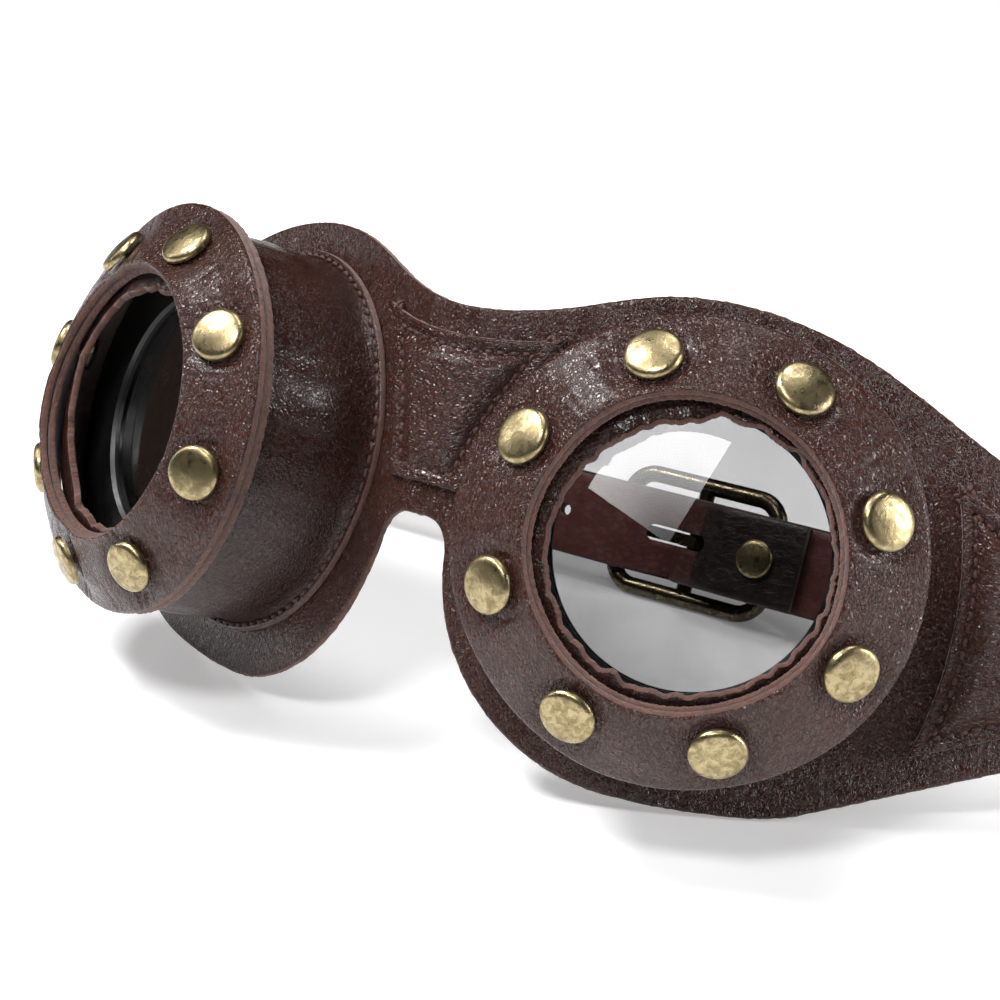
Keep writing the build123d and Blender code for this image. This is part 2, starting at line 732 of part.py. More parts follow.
tip_stack = PANEL + SWING_GAP + STRAP + SWING_GAP
for side_name, side in (("left", 1), ("right", -1)):
    outer_face = Plane(
        origin=(side * wing_x, rivet_y, 0), x_dir=(0, side, 0), z_dir=(side, 0, 0)
    )
    with BuildPart() as temple_rivet:
        with Locations(leaned(outer_face).location):
            add(domed_rivet(RIVET_RADIUS, RIVET_DOME, TEMPLE_POST, tip_stack + RIVET_BACK + 0.3))
        with Locations(leaned(outer_face.offset(-tip_stack)).location):
            add(rivet_back(TEMPLE_BACK_RADIUS, RIVET_BACK, TEMPLE_POST))
    finish(temple_rivet, f"{side_name}_temple_rivet")
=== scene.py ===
"""Motorcycle goggles: leather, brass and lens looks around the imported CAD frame.

Shapes are worked out in millimetres in the band's own upright frame (x across, y back,
z up the band), then placed in the row frame in metres by place().
"""

import json
import math

import bmesh
import bpy
import numpy as np
from mathutils import Matrix, Vector
from mathutils.geometry import delaunay_2d_cdt


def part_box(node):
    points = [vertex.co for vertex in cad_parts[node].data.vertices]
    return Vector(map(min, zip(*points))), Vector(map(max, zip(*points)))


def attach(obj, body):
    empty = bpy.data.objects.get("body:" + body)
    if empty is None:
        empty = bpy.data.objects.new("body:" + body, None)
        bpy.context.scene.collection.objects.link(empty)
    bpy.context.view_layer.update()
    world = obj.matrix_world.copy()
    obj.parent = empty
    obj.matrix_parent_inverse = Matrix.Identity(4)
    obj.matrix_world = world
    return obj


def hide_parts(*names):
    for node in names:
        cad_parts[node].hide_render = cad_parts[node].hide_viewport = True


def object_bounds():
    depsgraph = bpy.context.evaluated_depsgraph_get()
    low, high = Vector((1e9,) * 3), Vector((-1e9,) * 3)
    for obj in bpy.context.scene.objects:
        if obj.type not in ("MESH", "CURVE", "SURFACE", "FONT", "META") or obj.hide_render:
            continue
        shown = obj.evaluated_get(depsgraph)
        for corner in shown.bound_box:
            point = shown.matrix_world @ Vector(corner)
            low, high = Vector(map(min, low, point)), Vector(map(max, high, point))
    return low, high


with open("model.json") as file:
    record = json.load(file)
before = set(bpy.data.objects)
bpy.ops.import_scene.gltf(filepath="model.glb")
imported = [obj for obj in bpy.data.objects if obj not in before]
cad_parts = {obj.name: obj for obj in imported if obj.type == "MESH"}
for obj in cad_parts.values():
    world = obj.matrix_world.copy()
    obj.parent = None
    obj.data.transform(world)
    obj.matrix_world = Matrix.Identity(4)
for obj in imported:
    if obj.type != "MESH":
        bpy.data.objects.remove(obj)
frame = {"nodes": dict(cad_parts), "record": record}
cad_low, cad_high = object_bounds()

# ---- sizes, mm ----
CUP_YAW = math.radians(22.9)
CUP_SPREAD = 47.4
BRIDGE_RADIUS = 28.0
FLAT_END = 115.0
TEMPLE_RADIUS = 14.0
PANEL = 1.6
LINING = 1.0
LINING_START = 13.0  # along the sheet, from the middle
LINING_END = 111.0
LINING_SCALE = 0.95
LINING_GAP = 0.12
EYE_HOLE = 33.0
GAP = 0.05

RING_RADIUS = 39.0
RING_HOLE = 26.2
RING_BASE = 27.45
RING_SLOPE = math.radians(35.5)
RING_BULGE = 0.5
RING_LEATHER = 1.5
HEM_LEATHER = 1.3
HEM_START = 29.6  # where the hem begins to sag from the ring
WALL_RADIUS = 36.0
WALL = 1.4
WALL_BULGE = 0.6
FLANGE_RADIUS = 38.0
FLANGE_SEAM = 36.85
LENS_MIDDLE = 19.95  # height of the lens above the mask

RIVETS_PER_RING = 8
RIVET_PITCH_RADIUS = 32.2
RIVET_RADIUS = 5.0
RIVET_PHASE = {1: math.radians(-23.3), -1: math.radians(14.6)}

PATCH = 1.3
PATCH_RISE = 1.4
SEAM_INSET = 2.3  # the patch's stitches, from its edge

STRAP = 1.8
STRAP_WIDTH = 18.0
STRAP_Y = 65.0
STRAP_BEND = 12.0
SWING_GAP = 0.3
RIVET_ABOVE_BEND = 8.5
TIP_RADIUS = 10.0
TEMPLE_POST = 1.6
BUCKLE_X = 13.5
BAR_PITCH = 17.5
WIRE_RADIUS = 1.75
CENTRE_BAR_RADIUS = 1.6
BAR_GAP = 1.3
FOLD_START = 10.0
FOLD_NARROWING = 1.0
FOLD_BEND = 3.5
FOLD_END_X = 40.0
FOLD_RIVET_X = 30.5
POST_HOLE = 1.35
TAIL_END_X = 72.0
FIRST_HOLE_X = -15.6
HOLE_SPACING = 11.0
HOLES = 4
HOLE_RADIUS = 1.2
USED_HOLE_LENGTH = 10.0
PRONG_SLOT = 3.4
PRONG_SLOT_STRETCH = 3.8  # from a round hole to the slot in the fold, each way
KEEPER_X = 58.0
KEEPER_LENGTH = 9.0
KEEPER_SKIN = 1.5
KEEPER_BEND = 1.2

# ---- places, from the frame ----
mounts = {mount["name"]: mount for mount in frame["record"]["mounts"]}
ACROSS = np.array((1.0, 0.0, 0.0))
BACK = np.array(mounts["strap_adjusting_hole"]["axis"])
UP = np.cross(ACROSS, BACK)
lens_box = [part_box(name) for name in ("left_lens", "right_lens")]
LENS_SPOT = [500 * (np.array(low) + np.array(high)) for low, high in lens_box]
SEAT = (LENS_SPOT[0] + LENS_SPOT[1]) / 2 + LENS_MIDDLE * math.cos(CUP_YAW) * BACK


def place(points):
    """Row-frame metres from upright-frame millimetres."""
    p = np.asarray(points, float)
    return (SEAT + p[..., 0:1] * ACROSS + p[..., 1:2] * BACK + p[..., 2:3] * UP) / 1000


# ---- curves ----


def smooth_run(points, start, end, step=0.8):
    """Points along a smooth curve through the given ones, leaving and arriving as told."""
    p = np.array(points, float)
    h = np.linalg.norm(np.diff(p, axis=0), axis=1)
    n = len(p)
    left = np.eye(n)
    right = np.zeros_like(p)
    right[0] = np.array(start, float) / np.linalg.norm(start)
    right[-1] = np.array(end, float) / np.linalg.norm(end)
    for i in range(1, n - 1):
        left[i, i - 1 : i + 2] = h[i], 2 * (h[i - 1] + h[i]), h[i - 1]
        right[i] = 3 * (h[i] * (p[i] - p[i - 1]) / h[i - 1] + h[i - 1] * (p[i + 1] - p[i]) / h[i])
    slopes = np.linalg.solve(left, right)
    run = []
    for i in range(n - 1):
        t = np.linspace(0, 1, max(3, int(h[i] / step)), endpoint=False)[:, None]
        run.append(
            (2 * t**3 - 3 * t**2 + 1) * p[i]
            + (t**3 - 2 * t**2 + t) * h[i] * slopes[i]
            + (3 * t**2 - 2 * t**3) * p[i + 1]
            + (t**3 - t**2) * h[i] * slopes[i + 1]
        )
    return np.concatenate(run + [p[-1:]])


def arc_run(a, b, c, step=0.8):
    """Points along the circular arc from a through b to c."""
    a, b, c = (np.array(v, float) for v in (a, b, c))
    d = 2 * (a[0] * (b[1] - c[1]) + b[0] * (c[1] - a[1]) + c[0] * (a[1] - b[1]))
    squares = [v @ v for v in (a, b, c)]
    centre = np.array((
        (squares[0] * (b[1] - c[1]) + squares[1] * (c[1] - a[1]) + squares[2] * (a[1] - b[1])) / d,
        (squares[0] * (c[0] - b[0]) + squares[1] * (a[0] - c[0]) + squares[2] * (b[0] - a[0])) / d,
    ))
    radius = np.linalg.norm(a - centre)
    turn = [math.atan2(v[1] - centre[1], v[0] - centre[0]) for v in (a, b, c)]
    span = (turn[2] - turn[0]) % (2 * math.pi)
    if (turn[1] - turn[0]) % (2 * math.pi) > span:
        span -= 2 * math.pi
    t = turn[0] + np.linspace(0, 1, max(4, int(abs(span) * radius / step))) * span
    return centre + radius * np.stack([np.cos(t), np.sin(t)], 1)


def rounded_path(corners, radii, step=0.8):
    """A polyline's points with its inner corners rounded."""
    corners = [np.array(c, float) for c in corners]
    path = [corners[0][None]]
    for before, corner, after, radius in zip(corners, corners[1:], corners[2:], radii):
        way_in = (corner - before) / np.linalg.norm(corner - before)
        way_out = (after - corner) / np.linalg.norm(after - corner)
        half = math.acos(np.clip(way_in @ way_out, -1, 1)) / 2
        reach = radius * math.tan(half)
        inside = (way_out - way_in) / np.linalg.norm(way_out - way_in)
        middle = corner + inside * (radius / math.cos(half) - radius)
        path.append(arc_run(corner - way_in * reach, middle, corner + way_out * reach, step))
    path.append(corners[-1][None])
    return np.concatenate(path)


def run_along(path):
    """Distance along a line at each of its points."""
    return np.concatenate([[0], np.cumsum(np.linalg.norm(np.diff(path, axis=0), axis=1))])


def points_at(at, run, path):
    """Points of a line at the given distances along it."""
    return np.stack([np.interp(at, run, path[:, k]) for k in range(path.shape[1])], 1)


def resample(path, step, closed=False):
    """The same line with evenly spaced points."""
    if closed:
        path = np.concatenate([path, path[:1]])
    run = run_along(path)
    count = max(4, int(round(run[-1] / step)))
    even = points_at(np.linspace(0, run[-1], count + 1), run, path)
    return even[:-1] if closed else even


def wobble(points, wavelength, seed, waves=14):
    """A smooth random field, about -1 to 1."""
    rng = np.random.default_rng(seed)
    p = np.asarray(points, float)
    ways = rng.normal(size=(waves, p.shape[-1]))
    pace = 2 * math.pi / wavelength * rng.uniform(0.6, 1.4, waves) / np.linalg.norm(ways, axis=1)
    ways *= pace[:, None]
    return np.cos(p @ ways.T + rng.uniform(0, 2 * math.pi, waves)).sum(-1) / math.sqrt(waves / 2) / 1.6


def step_up(x, low, high):
    t = np.clip((x - low) / (high - low), 0, 1)
    return t * t * (3 - 2 * t)


# ---- the sheet that the mask is cut from ----
bend_half = BRIDGE_RADIUS * CUP_YAW
bend_x = BRIDGE_RADIUS * math.sin(CUP_YAW)
cup_along = bend_half + (CUP_SPREAD - bend_x) / math.cos(CUP_YAW)
bridge_y = -CUP_SPREAD * math.tan(CUP_YAW) + BRIDGE_RADIUS / math.cos(CUP_YAW)
temple_x = CUP_SPREAD + (FLAT_END - cup_along) * math.cos(CUP_YAW) - TEMPLE_RADIUS * math.sin(CUP_YAW)
temple_y = (FLAT_END - cup_along) * math.sin(CUP_YAW) + TEMPLE_RADIUS * math.cos(CUP_YAW)
temple_run = TEMPLE_RADIUS * (math.pi / 2 - CUP_YAW)
wing_x = temple_x + TEMPLE_RADIUS
rivet_y = temple_y + RIVET_ABOVE_BEND


def on_sheet(flat, proud):
    """Upright-frame points on the mask's sheet, from (along, up) and the height off its outer face."""
    along, up = np.abs(flat[:, 0]), flat[:, 1]
    side = np.where(flat[:, 0] < 0, -1.0, 1.0)
    heading = np.minimum(along / BRIDGE_RADIUS, CUP_YAW)
    heading = heading + np.clip((along - FLAT_END) / TEMPLE_RADIUS, 0, math.pi / 2 - CUP_YAW)
    zones = [along < bend_half, along < FLAT_END, along < FLAT_END + temple_run]
    x = np.select(
        zones,
        [
            BRIDGE_RADIUS * np.sin(heading),
            CUP_SPREAD + (along - cup_along) * math.cos(CUP_YAW),
            temple_x + TEMPLE_RADIUS * np.sin(heading),
        ],
        wing_x,
    )
    y = np.select(
        zones,
        [
            bridge_y - BRIDGE_RADIUS * np.cos(heading),
            (along - cup_along) * math.sin(CUP_YAW),
            temple_y - TEMPLE_RADIUS * np.cos(heading),
        ],
        temple_y + along - FLAT_END - temple_run,
    )
    return np.stack([side * (x + proud * np.sin(heading)), y - proud * np.cos(heading), up], 1)


def mask_outline():
    """The whole mask laid flat, as (along, up), clockwise from the middle of its top edge."""
    tip_along = FLAT_END + temple_run + RIVET_ABOVE_BEND
    wing_along = FLAT_END + temple_run
    top_marks = [(0, 32.6), (20.5, 37.0), (34, 42.0), (50, 43.8), (69, 40.6), (88, 32.6)]
    top = smooth_run(top_marks, (1, 0), (1, -0.467))
    bottom = smooth_run([(80, -39.9), (64, -44.2), (48, -45.5)], (-1, -0.514), (-1, 0))
    wing_top = smooth_run([(wing_along, 12.3), (tip_along, TIP_RADIUS)], (1, -0.467), (1, 0))
    wing_bottom = smooth_run([(tip_along, -TIP_RADIUS), (wing_along, -13.5)], (-1, 0), (-1, -0.514))
    half = np.concatenate([
        top,
        wing_top,
        arc_run((tip_along, TIP_RADIUS), (tip_along + TIP_RADIUS, 0), (tip_along, -TIP_RADIUS)),
        wing_bottom,
        bottom,
        arc_run((48, -45.5), (17.3, -33.2), (7.3, -11.5)),
        smooth_run([(7.3, -11.5), (5.4, -7.3), (2.2, -5.8)], (-0.2, 1), (-1, 0), step=0.4),
    ])
    half = half[np.concatenate([[True], np.linalg.norm(np.diff(half, axis=0), axis=1) > 1e-6])]
    return np.concatenate([half, (half * (-1, 1))[:0:-1]])


def circle(centre, radius, step=1.0):
    turn = np.linspace(0, 2 * math.pi, int(2 * math.pi * radius / step), endpoint=False)
    return np.array(centre) + radius * np.stack([np.sin(turn), np.cos(turn)], 1)


# ---- mesh making ----


def inside_loop(points, loop):
    """True for each point that lies inside a closed line."""
    a, b = loop, np.roll(loop, -1, 0)
    inside = np.zeros(len(points), bool)
    for (ax, ay), (bx, by) in zip(a, b):
        crosses = (ay > points[:, 1]) != (by > points[:, 1])
        if crosses.any():
            meets = (bx - ax) * (points[:, 1] - ay) / (by - ay + 1e-12) + ax
            inside ^= crosses & (points[:, 0] < meets)
    return inside


def between(points, loops):
    """True for each point inside the first closed line and outside the others."""
    keep = inside_loop(points, loops[0])
    for hole in loops[1:]:
        keep &= ~inside_loop(points, hole)
    return keep


def distance_to(points, loops):
    """Each point's distance to the nearest of some closed lines."""
    marks = np.concatenate([resample(loop, 0.4, closed=True) for loop in loops])
    near = np.empty(len(points))
    for start in range(0, len(points), 2000):
        block = points[start : start + 2000]
        near[start : start + 2000] = np.sqrt(((block[:, None] - marks) ** 2).sum(-1)).min(1)
    return near


def inset(loop, distance):
    """A closed line moved to its own inner side by a small distance."""
    way = np.roll(loop, -1, 0) - np.roll(loop, 1, 0)
    way /= np.linalg.norm(way, axis=1)[:, None]
    area = (loop[:, 0] * np.roll(loop[:, 1], -1) - loop[:, 1] * np.roll(loop[:, 0], -1)).sum()
    return loop + np.stack([-way[:, 1], way[:, 0]], 1) * distance * np.sign(area)


ROW_PITCH = 0.866  # of a triangular grid, in grid spacings
EDGE_ROOM = 0.55  # between the grid and the outlines, in grid spacings


def fill_flat(loops, spacing):
    """Triangles inside the first closed line and outside the others: points and faces."""
    low, high = loops[0].min(0), loops[0].max(0)
    grid = []
    for k, up in enumerate(np.arange(low[1], high[1], spacing * ROW_PITCH)):
        along = np.arange(low[0] + (k % 2) * spacing / 2, high[0], spacing)
        grid.append(np.stack([along, np.full_like(along, up)], 1))
    grid = np.concatenate(grid)
    grid = grid[between(grid, loops)]
    grid = grid[distance_to(grid, loops) > EDGE_ROOM * spacing]
    points = np.concatenate([*loops, grid])
    edges, first = [], 0
    for loop in loops:
        edges += [(first + k, first + (k + 1) % len(loop)) for k in range(len(loop))]
        first += len(loop)
    found = delaunay_2d_cdt([Vector(p) for p in points], edges, [], 0, 1e-6)
    points = np.array([tuple(v) for v in found[0]])
    faces = np.array([f for f in found[2] if len(f) == 3])
    return points, faces[between(points[faces].mean(1), loops)]


def link(made):
    bpy.context.scene.collection.objects.link(made)
    return made


def new_object(name, points, faces, looks, look_of_face=None):
    """A mesh object from upright-frame points, smooth shaded, with its normals outwards."""
    mesh = bpy.data.meshes.new(name)
    mesh.from_pydata(place(points).tolist(), [], faces)
    for look in looks:
        mesh.materials.append(look)
    if look_of_face is not None:
        mesh.polygons.foreach_set("material_index", np.asarray(look_of_face, np.int32))
    mesh.shade_smooth()
    work = bmesh.new()
    work.from_mesh(mesh)
    bmesh.ops.recalc_face_normals(work, faces=work.faces)
    work.to_mesh(mesh)
    work.free()
    return link(bpy.data.objects.new(name, mesh))


def settle(made, body, slot, *stands_for):
    """Rides a piece on its body and hides the CAD nodes it stands for; its slot is not used."""
    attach(made, body)
    if stands_for:
        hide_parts(*stands_for)


# A cut edge, from the front face round to the back: (inset, share of the thickness, raw).
CUT_EDGE = (
    (0.34, 0.03, False),
    (0.14, 0.10, False),
    (0.03, 0.22, False),
    (0.00, 0.34, True),
    (-0.05, 0.50, True),
    (-0.03, 0.68, True),
    (0.02, 0.84, True),
    (0.14, 0.97, True),
)
SKIN_START = 0.7  # where the flat of the skin ends, from the cut edge


def joining_faces(above, below):
    """Quads between two closed rings of points."""
    return list(zip(above, np.roll(above, -1), np.roll(below, -1), below))


def sheet_piece(name, loops, spacing, front, thickness, looks, ragged=0.05):
    """Leather cut to a flat outline: front(points, distance from the edge) is its face's height."""
    rng = np.random.default_rng(len(name))
    inner = [inset(loops[0], SKIN_START)] + [inset(hole, -SKIN_START) for hole in loops[1:]]
    flat, faces = fill_flat(inner, spacing)
    near = distance_to(flat, loops)
    back = np.full(len(flat), front.base - thickness)
    points = [on_sheet(flat, front(flat, near)), on_sheet(flat, back)]
    back_first = len(flat)
    all_faces = [tuple(f) for f in faces] + [tuple(f[::-1] + back_first) for f in faces]
    kinds = [0] * len(faces) + [2] * len(faces)
    count, first = 2 * len(flat), 0
    for number, loop in enumerate(loops):
        size = len(loop)
        above = np.arange(first, first + size)
        tops = front(inner[number], np.full(size, SKIN_START))
        for depth_in, share, raw in CUT_EDGE:
            jag = rng.normal(size=size) * ragged * raw
            line = inset(loop, depth_in * (1 if number == 0 else -1))
            line = line + jag[:, None] * (inset(loop, 1.0) - loop)
            height = tops - share * (tops - front.base + thickness)
            points.append(on_sheet(line, height))
            below = np.arange(count, count + size)
            all_faces += joining_faces(above, below)
            kinds += [int(raw)] * size
            above, count = below, count + size
        below = np.arange(back_first + first, back_first + first + size)
        all_faces += joining_faces(above, below)
        kinds += [1] * size
        first += size
    return new_object(name, np.concatenate(points), all_faces, looks, kinds)


def grid_faces(rows, columns, close_rows=True, close_columns=True):
    """Quads over a grid of points, row by row."""
    faces = []
    for i in range(rows if close_rows else rows - 1):
        for j in range(columns if close_columns else columns - 1):
            a, b = i * columns, ((i + 1) % rows) * columns
            faces.append((a + j, a + (j + 1) % columns, b + (j + 1) % columns, b + j))
    return faces


def looks_between(kinds, columns):
    """Each face's look in a closed grid: 1, the raw edge, next to a raw row, else the row's own."""
    rows = zip(kinds, kinds[1:] + kinds[:1])
    return np.repeat([max(a, b) if 1 in (a, b) else a for a, b in rows], columns)


def on_cup(side, clock, radius, height):
    """Upright-frame points round a cup: clock is measured from the top towards +X."""
    across = radius * np.sin(clock)
    up = radius * np.cos(clock)
    return np.stack([
        side * CUP_SPREAD + across * math.cos(CUP_YAW) + height * side * math.sin(CUP_YAW),
        across * side * math.sin(CUP_YAW) - height * math.cos(CUP_YAW),
        up,
    ], -1)


def ring_point(radius, depth):
    """Radius and height of a point under the ring's straight slope."""
    height = RING_BASE + (RING_RADIUS - radius) * math.tan(RING_SLOPE)
    return radius - depth * math.sin(RING_SLOPE), height - depth * math.cos(RING_SLOPE)


# ---- materials ----
LEAN = math.radians(26)  # of the band, so that wrinkles run along and across it


def join(socket, value):
    """Links another node's output to an input, or sets the input to a plain value."""
    if isinstance(value, bpy.types.NodeSocket):
        socket.id_data.links.new(value, socket)
    elif value is not None:
        socket.default_value = value


def feed(node, **values):
    """Fills a node's inputs by name, with _ for a space."""
    for name, value in values.items():
        join(node.inputs[name.replace("_", " ")], value)
    return node


class Look:
    """A material's node tree, with short ways to add the nodes it needs."""

    def __init__(self, name):
        self.material = bpy.data.materials.new(name)
        self.material.use_nodes = True
        self.nodes = self.material.node_tree.nodes
        self.shader = self.nodes["Principled BSDF"]
        self.where = self.add("TexCoord").outputs["Object"]

    def add(self, kind, **values):
        return feed(self.nodes.new(f"ShaderNode{kind}"), **values)

    def set(self, **values):
        feed(self.shader, **values)

    def spread(self, scale):
        """Coordinates per metre: one scale for all axes, or one for each."""
        scale = scale if isinstance(scale, tuple) else (scale,) * 3
        node = self.add("Mapping", Scale=scale, Rotation=(LEAN, 0, 0), Vector=self.where)
        return node.outputs["Vector"]

    def noise(self, scale, detail=3.0, roughness=0.55, distortion=0.0):
        node = self.add("TexNoise", Scale=1.0, Detail=detail, Roughness=roughness)
        feed(node, Distortion=distortion, Vector=self.spread(scale))
        return node.outputs["Fac"]

    def cells(self, scale, feature="DISTANCE_TO_EDGE", warp=0.0):
        node = self.add("TexVoronoi")
        node.feature = feature
        vector = self.spread(scale)
        if warp:
            push = self.add("TexNoise", Scale=0.6, Vector=vector)
            add = self.add("VectorMath")
            add.operation = "MULTIPLY_ADD"
            for socket, value in zip(add.inputs, (push.outputs["Color"], (warp,) * 3, vector)):
                join(socket, value)
            vector = add.outputs["Vector"]
        return feed(node, Scale=1.0, Vector=vector).outputs["Distance"]

    def math(self, operation, a, b=None, c=None):
        node = self.add("Math")
        node.operation = operation
        for socket, value in zip(node.inputs, (a, b, c)):
            join(socket, value)
        return node.outputs[0]

    def remap(self, value, low, high, to_low=0.0, to_high=1.0):
        node = self.add("MapRange")
        node.interpolation_type = "SMOOTHSTEP"
        feed(node, Value=value, From_Min=low, From_Max=high, To_Min=to_low, To_Max=to_high)
        return node.outputs["Result"]

    def mix(self, share, a, b):
        """Colour a at share 0 and b at share 1."""
        node = self.add("Mix")
        node.data_type = "RGBA"
        for number, value in ((0, share), (6, a), (7, b)):
            join(node.inputs[number], (*value, 1.0) if isinstance(value, tuple) else value)
        return node.outputs[2]

    def colour(self, value, low, high, a, b):
        """Base colour a where the value is low and b where it is high."""
        self.set(Base_Color=self.mix(self.remap(value, low, high), a, b))

    def rough(self, value, a, b, low=0.3, high=0.7):
        """Roughness a where the value is low and b where it is high."""
        self.set(Roughness=self.remap(value, low, high, a, b))

    def bump(self, height, distance):
        node = self.add("Bump", Distance=distance, Strength=1.0, Height=height)
        self.set(Normal=node.outputs["Normal"])


def leather(name, dark, light, grain, depth, gloss):
    """Pebbled, creased leather, with painted shade darkening its creases: grain is how many wrinkles
    per metre along each axis.
    """
    look = Look(name)
    fold = look.noise(grain, detail=3.0, roughness=0.5, distortion=0.9)
    crease = look.remap(look.math("ABSOLUTE", look.math("SUBTRACT", fold, 0.5)), 0.0, 0.07)
    pebble = look.remap(look.cells(tuple(1.25 * g for g in grain), warp=0.9), 0.0, 0.32)
    pore = look.remap(look.cells(2300, "F1"), 0.12, 0.3)
    broad = look.noise(70)
    patchy = look.remap(look.noise(130, detail=4.0), 0.35, 0.65)
    height = look.math("MULTIPLY_ADD", crease, 0.75, look.math("MULTIPLY", pebble, 0.45))
    height = look.math("MULTIPLY_ADD", pore, 0.10, height)
    height = look.math("MULTIPLY_ADD", broad, 1.6, height)
    look.bump(height, depth)
    colour = look.mix(patchy, dark, light)
    # Painted shade: the colour drops below the dark tone in the creases and in the grooves between the
    # pebbles.
    lines = look.math("MULTIPLY", crease, pebble)
    look.colour(lines, 0.0, 0.5, tuple(0.85 * c for c in dark), colour)
    look.rough(look.noise(260, detail=4.0), *gloss)
    look.set(Coat_Weight=0.04, Coat_Roughness=0.15, Specular_IOR_Level=0.40)
    return look.material


def suede(name, dark, light, nap=1500):
    """A raw cut edge or a flesh side: matt, with short fibres."""
    look = Look(name)
    fibres = look.noise((nap, nap, nap * 0.6), detail=5.0, roughness=0.7, distortion=0.4)
    blotch = look.noise(420)
    share = look.math("MULTIPLY_ADD", fibres, 0.6, look.math("MULTIPLY", blotch, 0.4))
    look.colour(share, 0.32, 0.68, dark, light)
    look.rough(blotch, 0.82, 0.98)
    look.bump(share, 0.0007)
    look.set(Sheen_Weight=0.25)
    return look.material


def brass(name, bright, dull, tarnish, gloss, specks):
    """Antique plated metal: brushed bright on top, mottled, dark where it is recessed."""
    look = Look(name)
    mottle = look.noise(650, detail=6.0, roughness=0.68, distortion=0.5)
    spots = look.remap(look.noise(specks, detail=3.0, roughness=0.7), 0.60, 0.72)
    point = look.add("NewGeometry").outputs["Pointiness"]
    colour = look.mix(look.remap(mottle, 0.38, 0.62), dull, bright)
    colour = look.mix(look.math("MULTIPLY", spots, 0.75), colour, tarnish)
    colour = look.mix(look.remap(point, 0.40, 0.49), tarnish, colour)
    look.set(Base_Color=colour, Metallic=look.remap(spots, 0.0, 1.0, 1.0, 0.7))
    look.rough(mottle, gloss[1], gloss[0])
    scratches = look.noise((3000, 900, 900), detail=2.0)
    look.bump(look.math("MULTIPLY_ADD", scratches, 0.4, mottle), 0.00006)
    return look.material


def cloth(name, dark, light, threads):
    """Short-pile lining cloth with a faint weave."""
    look = Look(name)
    weave = look.cells(threads, "F1")
    pile = look.noise(threads * 1.7)
    blotch = look.noise(150)
    look.colour(look.math("ADD", pile, blotch), 0.7, 1.3, dark, light)
    look.rough(pile, 0.85, 1.0)
    look.bump(look.math("ADD", weave, pile), 0.00025)
    look.set(Sheen_Weight=0.5)
    return look.material


def moulded_black(name):
    look = Look(name)
    grain = look.noise(1800)
    wear = look.noise(180, detail=4.0)
    look.colour(wear, 0.35, 0.65, (0.006, 0.006, 0.007), (0.013, 0.012, 0.012))
    look.rough(wear, 0.30, 0.5)
    look.bump(grain, 0.00004)
    return look.material


def tinted_lens(name):
    look = Look(name)
    smudge = look.noise(90, detail=5.0, roughness=0.65)
    look.rough(smudge, 0.0, 0.04, 0.5, 0.8)
    look.colour(smudge, 0.3, 0.7, (0.31, 0.31, 0.312), (0.35, 0.35, 0.352))
    look.set(Transmission_Weight=1.0, IOR=1.5)
    return look.material


def thread(name):
    look = Look(name)
    twist = look.noise(2600, detail=2.0)
    look.colour(twist, 0.35, 0.65, (0.03, 0.012, 0.008), (0.10, 0.040, 0.028))
    look.rough(twist, 0.55, 0.75)
    look.bump(twist, 0.0001)
    return look.material


DARK_BROWN = (0.040, 0.0118, 0.0068)
BROWN = (0.056, 0.0165, 0.0095)
DEEP_BROWN = (0.022, 0.0066, 0.0040)
# Painted shade: near-black browns for the folded-back end of the left strap, a shaded copy of the strap
# leather.
FOLD_SHADE_BROWNS = (0.010, 0.006, 0.005), (0.020, 0.010, 0.008)
STRAP_BROWNS = (0.050, 0.0170, 0.0115), (0.070, 0.0240, 0.0160)
STRAP_REDS = (0.10, 0.031, 0.024), (0.14, 0.045, 0.035)
mask_leather = leather("mask_leather", DARK_BROWN, BROWN, (1050, 1050, 700), 0.00026, (0.19, 0.29))
ring_leather = leather("ring_leather", DARK_BROWN, BROWN, (1000, 1000, 620), 0.00025, (0.18, 0.28))
wall_leather = leather("wall_leather", DEEP_BROWN, DARK_BROWN, (900, 900, 900), 0.00009, (0.17, 0.27))
patch_leather = leather("patch_leather", DARK_BROWN, BROWN, (560, 560, 1050), 0.00034, (0.17, 0.27))
strap_leather = leather("strap_leather", *STRAP_BROWNS, (420, 700, 700), 0.00004, (0.3, 0.42))
strap_inside = leather("strap_inside", *STRAP_REDS, (300, 500, 500), 0.00003, (0.34, 0.5))
shaded_fold_leather = leather("shaded_fold_leather", *FOLD_SHADE_BROWNS, (420, 700, 700), 0.00004, (0.3, 0.42))
raw_edge = suede("raw_edge", (0.055, 0.020, 0.013), (0.150, 0.060, 0.040))
flesh_side = suede("flesh_side", (0.05, 0.026, 0.018), (0.10, 0.055, 0.04), nap=1100)
strap_edge = suede("strap_edge", (0.020, 0.011, 0.009), (0.05, 0.024, 0.018))
lining_cloth = cloth("lining_cloth", (0.018, 0.014, 0.013), (0.045, 0.036, 0.033), 1500)
RIVET_TONES = (0.38, 0.31, 0.175), (0.21, 0.165, 0.085), (0.06, 0.042, 0.02)
BUCKLE_TONES = (0.16, 0.13, 0.085), (0.07, 0.055, 0.035), (0.02, 0.016, 0.01)
rivet_brass = brass("rivet_brass", *RIVET_TONES, (0.24, 0.42), 1900)
buckle_brass = brass("buckle_brass", *BUCKLE_TONES, (0.18, 0.36), 1500)
black_plastic = moulded_black("black_plastic")
lens_glass = tinted_lens("lens_glass")
seam_thread = thread("seam_thread")


# ---- stitches ----


THREAD_RADIUS = 0.36
# A stitch from end to end: share of its length, and thickness and rise in thread radii.
STITCH = np.array((
    (-0.5, -0.46, -0.3, 0.0, 0.3, 0.46, 0.5),
    (0.35, 0.75, 1.0, 1.05, 1.0, 0.75, 0.35),
    (-1.2, -0.5, 0.4, 0.7, 0.4, -0.5, -1.2),
))


